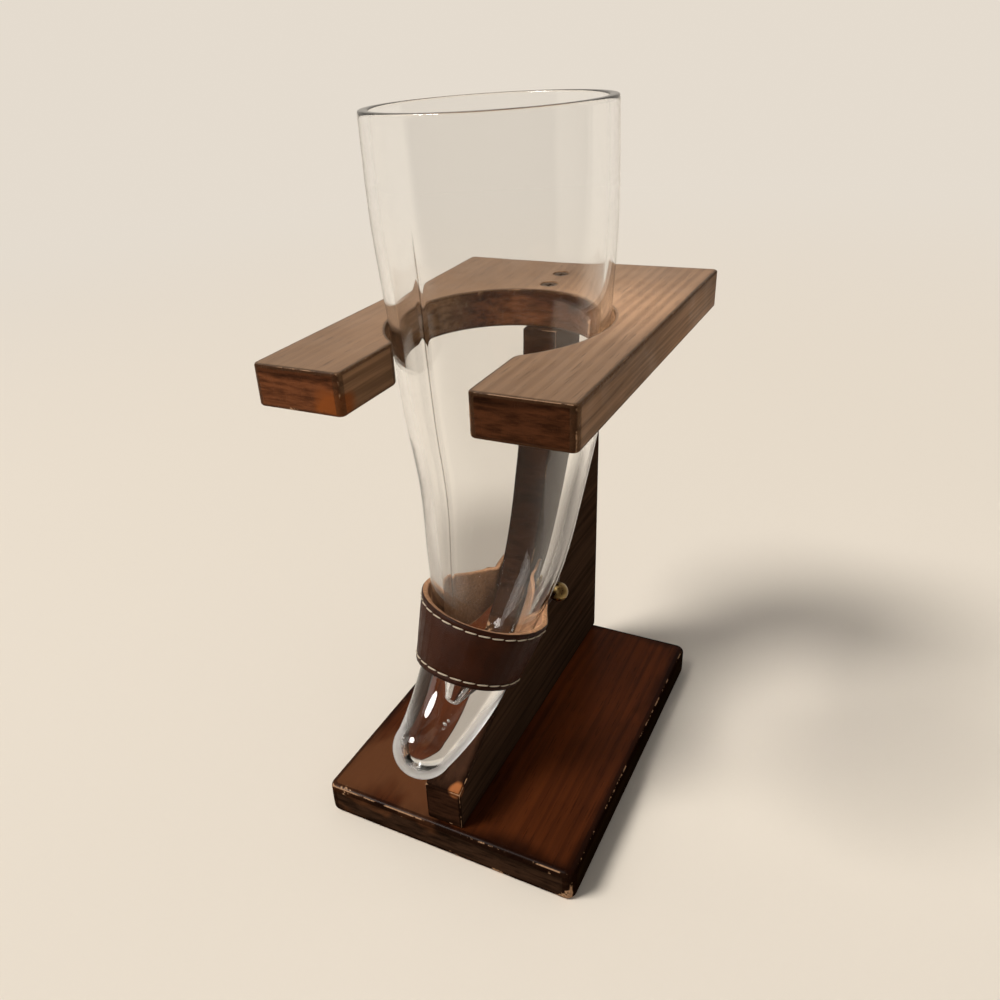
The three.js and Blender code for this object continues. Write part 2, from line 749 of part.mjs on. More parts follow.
// Round hole for the stud's neck with a slit that lets the ball through
function keyhole(side) {
  const radius = STUD_NECK_RADIUS + KEYHOLE_CLEARANCE;
  const slitHalf = KEYHOLE_SLIT.width / 2;
  const start = Math.asin(slitHalf / radius);
  const shape = new THREE.Shape();
  shape.absarc(0, 0, radius, Math.PI + start, Math.PI - start, false);
  shape.lineTo(-radius - KEYHOLE_SLIT.length, slitHalf);
  shape.lineTo(-radius - KEYHOLE_SLIT.length, -slitHalf);
  shape.closePath();
  const depth = 3 * STRAP_THICKNESS;
  const cutter = new THREE.ExtrudeGeometry(shape, { depth, bevelEnabled: false, curveSegments: 20 });
  cutter.applyMatrix4(new THREE.Matrix4().makeBasis(
    new THREE.Vector3(0, 1, 0),
    new THREE.Vector3(0, 0, 1),
    new THREE.Vector3(1, 0, 0),
  ));
  cutter.translate(side * (strapInner + STRAP_THICKNESS / 2) - depth / 2, studY, studZ);
  return cutter;
}

// Thread that runs in a groove: proud of the leather for a stitch, down in it between stitches
function stitching(row) {
  const line = sections.filter((section) => section.depth > 0).slice(1, -1);
  const travel = [0];
  for (let i = 1; i < line.length; i++) {
    const here = sectionPoint(line[i], row, STRAP_THICKNESS);
    travel.push(travel[i - 1] + here.distanceTo(sectionPoint(line[i - 1], row, STRAP_THICKNESS)));
  }
  const length = travel[travel.length - 1];
  const count = Math.floor((length - STITCH_GAP_LENGTH) / STITCH_PITCH);
  const pitch = (length - STITCH_GAP_LENGTH) / count;
  const high = STRAP_THICKNESS + THREAD_PROUD - THREAD_WIDTH / 2;
  const low = STRAP_THICKNESS - GROOVE_DEPTH + GROOVE_SIDE_GAP + THREAD_WIDTH / 2;
  const rings = [threadRing(line, travel, 0, row, low), threadRing(line, travel, THREAD_START, row, low)];
  for (let i = 0; i < count; i++) {
    const start = STITCH_GAP_LENGTH + i * pitch;
    const end = start + pitch - STITCH_GAP_LENGTH;
    rings.push(threadRing(line, travel, start, row, high));
    rings.push(threadRing(line, travel, (start + end) / 2, row, high));
    rings.push(threadRing(line, travel, end, row, high));
    rings.push(threadRing(line, travel, end + STITCH_GAP_LENGTH / 2, row, low));
  }
  return skinRings(rings);
}

function threadRing(line, travel, distance, row, height) {
  let i = 0;
  while (i < travel.length - 2 && travel[i + 1] < distance) {
    i++;
  }
  const share = (distance - travel[i]) / (travel[i + 1] - travel[i]);
  const across = THREAD_WIDTH / 2 / STRAP_WIDTH;
  const out = THREAD_WIDTH / 2;
  const corners = [[across, -out], [-across, -out], [-across, out], [across, out]];
  return corners.map(([a, o]) => {
    const before = sectionPoint(line[i], row + a, height + o);
    return before.lerp(sectionPoint(line[i + 1], row + a, height + o), share);
  });
}

const part = new THREE.Group();

function add(name, geometry, finish) {
  const mesh = new THREE.Mesh(geometry, finish);
  mesh.name = name;
  part.add(mesh);
}

add('base_board', baseBoard(), wood(0x4a2a18));
add('upright', upright(), wood(0x3a251a));
add('top_plate', topPlate(), wood(0x56371f));
add('glass_horn', glassHorn(), glass());
add('leather_strap', leatherStrap(), material(0x3d2118, 0.5));
add('strap_stitching_upper', stitching(stitchShare), material(0xd8c8ae, 0.8));
add('strap_stitching_lower', stitching(-stitchShare), material(0xd8c8ae, 0.8));
add('stud_right', stud(1), material(0xa8894e, 0.3, 1));
add('stud_left', stud(-1), material(0xa8894e, 0.3, 1));
for (const [place, y] of Object.entries(plateScrewY)) {
  add(`plate_screw_${place}`, screw(y, STAND_HEIGHT, -1, PLATE_SCREW_LENGTH), material(0x2b2420, 0.5, 1));
}
for (const [place, y] of Object.entries(baseScrewY)) {
  add(`base_screw_${place}`, screw(y, 0, 1, BASE_SCREW_LENGTH), material(0x8b8880, 0.4, 1));
}

export default part;
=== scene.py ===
"""Looks of a glass drinking horn in a wooden stand with a leather strap, in metres."""

from math import acos, asin, cos, exp, floor, pi, radians, sin, sqrt

import bmesh
import bpy
from bpy.props import FloatProperty, FloatVectorProperty, IntProperty, PointerProperty
from mathutils import Matrix, Vector


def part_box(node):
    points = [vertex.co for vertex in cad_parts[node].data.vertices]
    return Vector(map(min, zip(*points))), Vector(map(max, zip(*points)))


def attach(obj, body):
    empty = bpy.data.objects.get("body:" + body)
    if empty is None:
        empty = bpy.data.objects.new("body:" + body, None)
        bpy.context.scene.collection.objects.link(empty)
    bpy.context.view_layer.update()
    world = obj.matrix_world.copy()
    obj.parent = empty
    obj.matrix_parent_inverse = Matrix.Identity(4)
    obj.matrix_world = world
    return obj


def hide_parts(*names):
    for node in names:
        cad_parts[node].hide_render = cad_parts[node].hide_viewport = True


bl_info = {
    "name": "Glass Drinking Horn on a Wooden Stand",
    "version": (1, 0, 0),
    "blender": (4, 5, 0),
    "location": "View3D > Sidebar > Horn",
    "description": "Builds a glass drinking horn, its wooden stand and its leather strap",
    "category": "Add Mesh",
}

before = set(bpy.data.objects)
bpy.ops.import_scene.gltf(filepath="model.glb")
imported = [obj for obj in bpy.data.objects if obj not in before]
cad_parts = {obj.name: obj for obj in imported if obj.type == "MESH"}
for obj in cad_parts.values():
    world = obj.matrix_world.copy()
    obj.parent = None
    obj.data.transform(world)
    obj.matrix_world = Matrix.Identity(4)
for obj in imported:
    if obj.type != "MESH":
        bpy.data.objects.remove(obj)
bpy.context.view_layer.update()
MM = 0.001
SHARP = radians(25)

BASE_LOW, BASE_HIGH = (Vector(corner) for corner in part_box("base_board"))
PLATE_LOW, PLATE_HIGH = (Vector(corner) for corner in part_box("top_plate"))
UPRIGHT_LOW, UPRIGHT_HIGH = (Vector(corner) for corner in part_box("upright"))
HORN_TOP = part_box("glass_horn")[1][2]
STUD_LOW, STUD_HIGH = (Vector(corner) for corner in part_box("stud_right"))

# Horn: its centre line leaves the rim almost straight down and bends forward by a power law
HORN_LEAN = radians(-2.3)
HORN_BEND = radians(81.5)
BEND_START = 20.7 * MM
BEND_POWER = 2.9
HORN_TURN = radians(6)
SPINE_STEPS = 486
SPINE_BALL_STEP = 3
HORN_TAPER = (
    (0, 1),
    (0.136, 1.005),
    (0.284, 0.954),
    (0.412, 0.9),
    (0.543, 0.776),
    (0.667, 0.662),
    (0.782, 0.493),
    (0.889, 0.413),
    (1, 0.291),
)
SHOULDER_SHARE = 0.5
CAVITY_TAPER_START = 188 * MM
CAVITY_TAPER_POWER = 1.2
TIP_FLATTENING = 0.985
RIM_SQUARENESS = 0.45
CAP_STEPS = 10
RIM_STEPS = 16
INNER_RING_SHARE = 0.86

# Fold on the inside of the glass: stations, directions and share of its height. It shows as a
# thin dark line, painted shade tinted into the glass along its crest
CREASE_PATH = (
    (30 * MM, radians(-172.5), 0.0),
    (48 * MM, radians(-172.3), 1.0),
    (72 * MM, radians(-170.5), 0.8),
    (115 * MM, radians(-170.5), 0.7),
    (165 * MM, radians(-168), 0.7),
    (185 * MM, radians(-168), 0.0),
)
CREASE_HALF_WIDTH = 0.9 * MM
CREASE_REACH = 3 * CREASE_HALF_WIDTH
# Half width and colour of that line of painted shade
CREASE_LINE = 0.55 * MM
CREASE_PAINTED_SHADE = (0.16, 0.12, 0.09)

# Heights between which the milky skin of the solid tip fades out
MILKY_FULL = 56 * MM
MILKY_GONE = 68 * MM

# Air bubbles in the solid tip: share of the horn's length, distance from its centre line,
# direction and radius
BUBBLES = (
    (0.95, 1.2 * MM, radians(56), 0.6 * MM),
    (0.942, 1.6 * MM, radians(59), 0.45 * MM),
)

# Hole and slot of the top plate, and the screws that the wood is drilled for
HOLE_Y = -7.4 * MM
HORN_Y = HOLE_Y - 1.3 * MM
HOLE_CLEARANCE = 0.85 * MM
FLARE_SHIFT = 7.4 * MM
SLOT_START_SHARE = 0.9
SLOT_CLEARANCE = 0.5 * MM
SCREW_HOLE_HEAD = 4.2 * MM
SCREW_HOLE_SHANK = 2.3 * MM
SCREW_HOLE_STRAIGHT = 0.7 * MM
CUT_OVERRUN = 1 * MM

# Strap: width at its ends, straight run beside a stud, the two planes that cut its edges on the
# horn, and how it is sampled
STRAP_END_WIDTH = 17 * MM
STRAP_FLAT = 4.8 * MM
STRAP_TOP_STATION = 187 * MM
STRAP_BOTTOM_STATION = 216.8 * MM
STRAP_TOP_TILT = (-0.2, -0.25)
STRAP_BOTTOM_TILT = (-0.15, -0.39)
STRAP_CLEARANCE = 0.4 * MM
STRAP_TOP_LOOSENESS = 1 * MM
STRAP_SAMPLES = 15
TANGENT_REACH = 0.0001
STATION_TOLERANCE = 0.001 * MM
STRAP_END_CUT = 0.15 * MM
STRAP_TAIL = 14 * MM
STRAP_LEAVING_DEGREES = range(40, 151, 2)
STRAP_GAP_SHARES = (-0.5, -0.35, -0.2, -0.1, 0, 0.1, 0.2, 0.35, 0.5)
STRAP_GAP_PASSES = 4
STRAP_END_SPANS = 1.0
STRAP_TAIL_SPANS = (0, 0.01, 0.03, 0.06, 0.12, 0.2, 0.32, 0.45, 0.6, 0.8)
STRAP_STEPS = 230
KEYHOLE_RADIUS = 2.3 * MM
KEYHOLE_SLIT = 7 * MM
KEYHOLE_SLIT_HALF = 0.3 * MM
KEYHOLE_SIDES = 32

# Section of the strap: rounding of its edges and where their raw cut starts, the darker skin
# beside them, and the crown of the face as shares across and rises
STRAP_SOFT_EDGE = 0.35 * MM
STRAP_CUT_START = 1.4 * STRAP_SOFT_EDGE
STRAP_DARK_EDGE = 1.0 * MM
STRAP_EDGE_RISE = 0.02 * MM
STRAP_CROWN = ((0.2, 0.05 * MM), (0, 0.07 * MM), (-0.2, 0.05 * MM))
STRAP_INNER_SHARES = (-0.46, -0.2, 0.2, 0.46)

# Groove under a row of stitches: half width, depth, and its section as shares of both with the
# darkness of the leather there
STRAP_GROOVE = 0.8 * MM
STRAP_GROOVE_DEPTH = 0.28 * MM
STRAP_GROOVE_SECTION = ((1, 0, 0.1), (0.5, 0.7, 0.2), (0, 1, 0.2), (-0.5, 0.7, 0.2), (-1, 0, 0.1))

# Stitches: spans of the strap before the first one, samples of the strap along a row, steps along
# a stitch, sides of the thread, share of the gap that is left bare, and how a stitch sinks, rises,
# swells, leans and is squeezed
STITCH_START_SPANS = 4
STITCH_ROW_SAMPLES = 300
STITCH_STEPS = 12
STITCH_SIDES = 10
STITCH_GAP_SHARE = 0.75
STITCH_SWELL_POWER = 3.2
STITCH_SUNK = 0.62
STITCH_RISE = 1.05
STITCH_END_WIDTH = 0.45
STITCH_SWELL_WIDTH = 0.6
STITCH_LEAN = 0.22 * MM
STITCH_WIDE = 1.1
STITCH_FLAT = 0.9

# Studs: distances from the wood and radii of the shank, the flange and the neck below the ball
STUD_GAP = 0.3 * MM
STUD_POINT = -6 * MM
STUD_SHANK_END = -5 * MM
STUD_SHANK = 1.5 * MM
STUD_FLANGE = 3.4 * MM
STUD_FLANGE_FACE = 3.2 * MM
STUD_FLANGE_END = 1.0 * MM
STUD_FLANGE_BEVEL = 0.15 * MM
STUD_FLANGE_ROUND = 0.2 * MM
STUD_NECK_ROOT = 2.1 * MM
STUD_NECK_ROOT_END = 0.25 * MM
STUD_NECK = 1.8 * MM
STUD_BALL_STEPS = 22
STUD_SIDES = 44

# Steps of the boards' rounded edges and of the plate's hole, sides of the screw holes, and how much
# of a corner beside a rounded edge the inset takes
BASE_CORNER_STEPS = 6
BASE_EDGE_STEPS = 5
PLATE_STEPS = 4
UPRIGHT_STEPS = 3
FLARE_STEPS = 12
HOLE_STEPS = 48
SCREW_HOLE_SIDES = 40
EDGE_INSET = 0.95

# Tolerances for picking and merging parts of a mesh
PLACE_TOLERANCE = 0.01 * MM
LEAST_CORNER = 5 * MM
LEVEL_NORMAL = 0.9
STUD_HOLE_REACH = 3 * MM
TURNED_MERGE = 0.001 * MM
CUT_MERGE = 0.002 * MM
CAD_MERGE = 0.005 * MM
FLAT_ANGLE = radians(0.4)

# Places of the boards' patches, where the stain has another colour
PLATE_PATCH = (-26 * MM, PLATE_LOW.y, 188 * MM)
BASE_PATCH = (-35 * MM, -55 * MM, BASE_HIGH.z)
UPRIGHT_PATCH = (4.8 * MM, -72.2 * MM, 33.7 * MM)

# Stain of the boards along X: the rings go from a faint share to full strength between two places,
# and the colours of the two ends meet this far to each side of 0
RINGS_FAINT = -30 * MM
RINGS_STRONG = 20 * MM
RINGS_FAINT_SHARE = 0.35
ENDS_MEET = 10 * MM

# Painted light on the boards' tops along Y: where it sets in, and where it is full
BACK_LIGHT_FROM = -50 * MM
BACK_LIGHT_UP_TO = 30 * MM

# Depths behind the front edge for extra wear, and below the top for the dark band of the ends
FRONT_WEAR_FULL = 0.8 * MM
FRONT_WEAR_GONE = 2.4 * MM
END_DARK_FULL = 2.6 * MM
END_DARK_GONE = 4.2 * MM
END_DARK_RAGGED = 4 * MM

# Colours that aren't among the settings
GLASS_CLEAR = (1.0, 1.0, 0.995)
GLASS_WARM = (0.992, 0.988, 0.978)
THREAD_SOIL = (0.3, 0.2, 0.12)
BRASS_TARNISH = (0.2, 0.13, 0.05)
DARK_STEEL = (0.2, 0.14, 0.1)
DARK_STEEL_TARNISH = (0.09, 0.055, 0.035)
PLAIN_STEEL = (0.48, 0.46, 0.43)
PLAIN_STEEL_TARNISH = (0.2, 0.17, 0.14)

# Twist of the thread: plies that pass in a metre along it, and plies counted once round it
THREAD_TWIST = 1400.0
THREAD_PLIES = 2.0

# Stage: a floor that passes into the background between two distances. Mirrored in the glass it is
# dim up to one place and pale from another, and seen through the glass it is dimmer near the stand:
# painted shade round the stand's foot.
# Then the lamps, and the camera at the place that the photograph was taken from
FLOOR_RADIUS = 9.0
FLOOR_SIDES = 96
FLOOR_NEAR = 0.3
FLOOR_FAR = 1.6
FLOOR_DIM_UP_TO = -0.22
FLOOR_PALE_FROM = -0.06
FOOT_SHADE_NEAR = 0.18
FOOT_SHADE_FAR = 0.27
DIM_ROOM = (0.12, 0.09, 0.07)
PALE_SIDE = (-0.6, 0.8, 0.0)
MIRRORED_SHARE = 0.7
HORIZON_LIGHT = (0.42, 0.38, 0.33)
OVERHEAD_LIGHT = (0.26, 0.26, 0.26)
KEY_FROM = (-0.6, -0.55, 1.0)
KEY_STRENGTH = 2.9
KEY_SPREAD = radians(20)
KEY_TINT = (1.0, 0.97, 0.92)
WINDOW_PLACE = (-0.9, -0.55, 0.75)
WINDOW_AIM = (0, 0, 0.14)
WINDOW_SIZE = (0.35, 0.7)
WINDOW_POWER = 1.2
WINDOW_TINT = (1.0, 0.98, 0.95)
CAMERA_PLACE = (131.64 * MM, -278.63 * MM, 284.39 * MM)
CAMERA_AZIMUTH = radians(30.38)
CAMERA_DOWN = radians(29.64)
CAMERA_ROLL = radians(-4.17)
FOCAL_PIXELS = 871.3
PRINCIPAL_X = 448.69
PRINCIPAL_Y = 533.46
PICTURE = 1000
SENSOR = 36.0
CLIP_START = 0.01
CLIP_END = 100


# Property groups


def length(name, description, default):
    """Size in metres."""
    return FloatProperty(name=name, description=description, default=default, min=0.0,
                         unit="LENGTH", subtype="DISTANCE", precision=5)


def colour(name, description, default):
    """Linear colour."""
    return FloatVectorProperty(name=name, description=description, default=default, size=3,
                               min=0.0, max=1.0, subtype="COLOR")


class HornSizes(bpy.types.PropertyGroup):
    """Sizes of the glass horn"""
    rim_height: length("Rim Height", "Height of the mouth above the ground", HORN_TOP)
    run: length("Length", "Length of the horn along its centre line", 243 * MM)
    mouth_radius: length("Mouth Radius", "Outer radius of the mouth", 40.2 * MM)
    rim_wall: length("Rim Wall", "Thickness of the glass at the rim", 3.3 * MM)
    shoulder_wall: length("Shoulder Wall", "Thickness of the glass half way down", 3.6 * MM)
    lower_wall: length("Lower Wall", "Thickness of the glass at the cavity's end", 5.5 * MM)
    cavity: length("Cavity Length", "Length of the cavity along the centre line", 220 * MM)
    cavity_tip: length("Cavity Tip Radius", "Radius of the cavity's rounded end", 2.2 * MM)
    crease: length("Crease", "Height of the fold inside the front of the glass", 0.28 * MM)
    around: IntProperty(name="Faces Around", description="Faces round the horn", default=240, min=24)
    rings: IntProperty(name="Rings", description="Rings down the outside", default=170, min=40)


class StandSizes(bpy.types.PropertyGroup):
    """Sizes of the wooden stand"""
    base_corner: length("Base Corner", "Radius of the base board's corners", 4.0 * MM)
    base_edge: length("Base Edge", "Rounding of the base board's edges", 2.2 * MM)
    plate_corner: length("Plate Corner", "Radius of the top plate's corners", 2.2 * MM)
    plate_edge: length("Plate Edge", "Rounding of the top plate's edges", 0.9 * MM)
    upright_edge: length("Upright Edge", "Rounding of the upright's edges", 0.8 * MM)


class StrapSizes(bpy.types.PropertyGroup):
    """Sizes of the strap, its stitching and its studs"""
    thickness: length("Thickness", "Thickness of the leather", 2.4 * MM)
    width: length("Width", "Width of the strap round the horn", 24 * MM)
    stitch_inset: length("Stitch Inset", "Distance of a stitch row from the edge", 2.3 * MM)
    stitch_pitch: length("Stitch Pitch", "Distance from one stitch to the next", 4.6 * MM)
    stitch_gap: length("Stitch Gap", "Bare leather between two stitches", 0.9 * MM)
    thread: length("Thread", "Thickness of the thread", 0.52 * MM)
    ball: length("Ball Radius", "Radius of a stud's ball", 4.2 * MM)


class Finishes(bpy.types.PropertyGroup):
    """Colours of the materials"""
    plate_face: colour("Plate Face", "Lacquered top of the plate", (0.27, 0.157, 0.088))
    plate_grain: colour("Plate Grain", "Darker grain lines of the plate", (0.13, 0.066, 0.032))
    base_face: colour("Base Face", "Light grain of the base board", (0.072, 0.0175, 0.0045))
    base_grain: colour("Base Grain", "Dark grain of the base board", (0.02, 0.0055, 0.0025))
    worn_wood: colour("Worn Wood", "Bare wood on worn edges", (0.36, 0.21, 0.12))
    leather: colour("Leather", "Face of the strap", (0.028, 0.0076, 0.0028))
    raw_leather: colour("Raw Leather", "Cut edge of the strap", (0.48, 0.255, 0.135))
    thread: colour("Thread", "Stitching thread", (0.6, 0.51, 0.38))
    # Darker than clean brass: painted shade of the horn and strap that hang over the studs
    brass: colour("Brass", "Studs", (0.3, 0.21, 0.085))
    floor: colour("Floor", "Floor and background", (0.78, 0.71, 0.62))


# Mesh helpers


def board_mesh():
    """Empty bmesh with a tag for rounded faces and a mark for edges."""
    bm = bmesh.new()
    bm.faces.layers.int.new("rounded")
    bm.verts.layers.float.new("edge")
    return bm


def bevel(bm, edges, width, steps):
    """Rounds edges and tags the faces that the rounding makes."""
    made = bmesh.ops.bevel(bm, geom=edges, offset=width, offset_type="OFFSET", segments=steps,
                           profile=0.5, affect="EDGES", clamp_overlap=True, material=-1)
    tag = bm.faces.layers.int["rounded"]
    for face in made["faces"]:
        face[tag] = 1


def run_to(bm, vert, place):
    """Extrudes one vertex to a place and returns the new vertex."""
    made = bmesh.ops.extrude_vert_indiv(bm, verts=[vert])["verts"][0]
    made.co = place
    return made


def run_arc(bm, vert, centre, angle, steps):
    """Spins one vertex about an upright axis and returns the last new vertex."""
    spun = bmesh.ops.spin(bm, geom=[vert], cent=centre, axis=(0, 0, 1), angle=angle, steps=steps)
    return next(item for item in spun["geom_last"] if isinstance(item, bmesh.types.BMVert))


def next_ring(bm, ring):
    """Extrudes a closed ring of vertices and returns the new ones in the same order."""
    edges = [bm.edges.get(pair) for pair in zip(ring, ring[1:] + ring[:1])]
    out = bmesh.ops.extrude_edge_only(bm, edges=edges)["geom"]
    made = {item for item in out if isinstance(item, bmesh.types.BMVert)}
    return [next(e.other_vert(v) for e in v.link_edges if e.other_vert(v) in made) for v in ring]


def place_ring(ring, places):
    """Moves a ring's vertices to places in the same order."""
    for vert, place in zip(ring, places):
        vert.co = place


def close_ends(bm, *rings):
    """Closes open rings with one face each."""
    for ring in rings:
        bmesh.ops.contextual_create(bm, geom=ring)


def close_to_point(bm, ring, point):
    """Closes an open ring with a pole."""
    bmesh.ops.pointmerge(bm, verts=next_ring(bm, ring), merge_co=point)


def turned(profile, steps):
    """Spins a profile of radii and heights round the Z axis into a closed body."""
    bm = bmesh.new()
    vert = bm.verts.new((profile[0][0], 0, profile[0][1]))
    for radius, height in profile[1:]:
        vert = run_to(bm, vert, (radius, 0, height))
    bmesh.ops.spin(bm, geom=bm.verts[:] + bm.edges[:], cent=(0, 0, 0), axis=(0, 0, 1),
                   angle=2 * pi, steps=steps, use_merge=True)
    bmesh.ops.remove_doubles(bm, verts=bm.verts, dist=TURNED_MERGE)
    bmesh.ops.recalc_face_normals(bm, faces=bm.faces)
    return bm


def thicken(bm, height):
    """Fills a closed outline and raises it into a slab."""
    bmesh.ops.edgeloop_fill(bm, edges=bm.edges)
    grown = bmesh.ops.extrude_face_region(bm, geom=bm.faces[:])["geom"]
    lifted = [item for item in grown if isinstance(item, bmesh.types.BMVert)]
    bmesh.ops.translate(bm, vec=(0, 0, height), verts=lifted)
    bmesh.ops.recalc_face_normals(bm, faces=bm.faces)


def level_edges(bm, height):
    """Outline edges that lie at a height."""
    return [e for e in bm.edges
            if all(abs(v.co.z - height) < PLACE_TOLERANCE for v in e.verts)
            and sum(abs(f.normal.z) > LEVEL_NORMAL for f in e.link_faces) == 1]


def standing_edges(bm):
    """Upright edges at the corners of an outline."""
    return [e for e in bm.edges
            if abs(e.verts[0].co.z - e.verts[1].co.z) > LEAST_CORNER
            and len(e.link_faces) == 2 and e.calc_face_angle() > SHARP]


def cut_out(bm, cutters):
    """Subtracts closed bodies and returns what is left."""
    body = temporary("body", bm)
    tools = [temporary("tool", cutter) for cutter in cutters]
    for tool in tools:
        cut = body.modifiers.new("cut", "BOOLEAN")
        cut.operation = "DIFFERENCE"
        cut.solver = "EXACT"
        cut.object = tool
    bpy.context.view_layer.update()
    result = body.evaluated_get(bpy.context.evaluated_depsgraph_get()).to_mesh()
    left = bmesh.new()
    left.from_mesh(result)
    for item in [body, *tools]:
        mesh = item.data
        bpy.data.objects.remove(item)
        bpy.data.meshes.remove(mesh)
    bmesh.ops.remove_doubles(left, verts=left.verts, dist=CUT_MERGE)
    return left


def temporary(name, bm):
    """Object that holds a bmesh while it is cut."""
    mesh = bpy.data.meshes.new(name)
    bm.to_mesh(mesh)
    bm.free()
    item = bpy.data.objects.new(name, mesh)
    bpy.context.scene.collection.objects.link(item)
    return item


def mark_edges(bm, width):
    """Insets the flat faces and stores how near a vertex is to a rounded edge."""
    tag = bm.faces.layers.int["rounded"]
    layer = bm.verts.layers.float["edge"]
    plain = [f for f in bm.faces if not f[tag]]
    bmesh.ops.inset_region(bm, faces=plain, thickness=width, use_even_offset=True, use_boundary=True)
    inner = {v for f in plain for v in f.verts}
    for vert in bm.verts:
        vert[layer] = 0.0 if vert in inner else 1.0


def finish_piece(name, bm, body, materials, replaced, weighted=False):
    """Turns a bmesh into a piece that rides on a body and stands for CAD nodes."""
    mesh = bpy.data.meshes.new(name)
    bm.to_mesh(mesh)
    bm.free()
    mesh.shade_smooth()
    for material in materials:
        mesh.materials.append(material)
    piece = bpy.data.objects.new(name, mesh)
    bpy.context.scene.collection.objects.link(piece)
    if weighted:
        normals = piece.modifiers.new("even normals", "WEIGHTED_NORMAL")
        normals.weight = 100
        normals.keep_sharp = True
    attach(piece, body)
    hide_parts(*replaced)
    return piece


# Shape of the horn and the strap


def cubic_between(points, x):
    """Cubic through samples, without curvature at both ends."""
    last = len(points) - 1
    i = next((k for k in range(last) if x <= points[k + 1][0]), last - 1)
    (t0, v0), (t1, v1) = points[i], points[i + 1]
    t_before, v_before = points[i - 1] if i > 0 else (t1, v1)
    t_after, v_after = points[i + 2] if i + 2 <= last else (t0, v0)
    p = (x - t0) / (t1 - t0)
    half = (t1 - t0) / 2
    w_before = half / (t0 - t_before)
    w_after = half / (t_after - t1)
    s_before = -w_before * p ** 3 + 2 * w_before * p ** 2 - w_before * p
    s0 = (1 + w_before) * p ** 3 + (-1.5 - 2 * w_before) * p ** 2 + (-0.5 + w_before) * p + 1
    s1 = (-1 - w_after) * p ** 3 + (1.5 + w_after) * p ** 2 + 0.5 * p
    s_after = w_after * p ** 3 - w_after * p ** 2
    return s_before * v_before + s0 * v0 + s1 * v1 + s_after * v_after


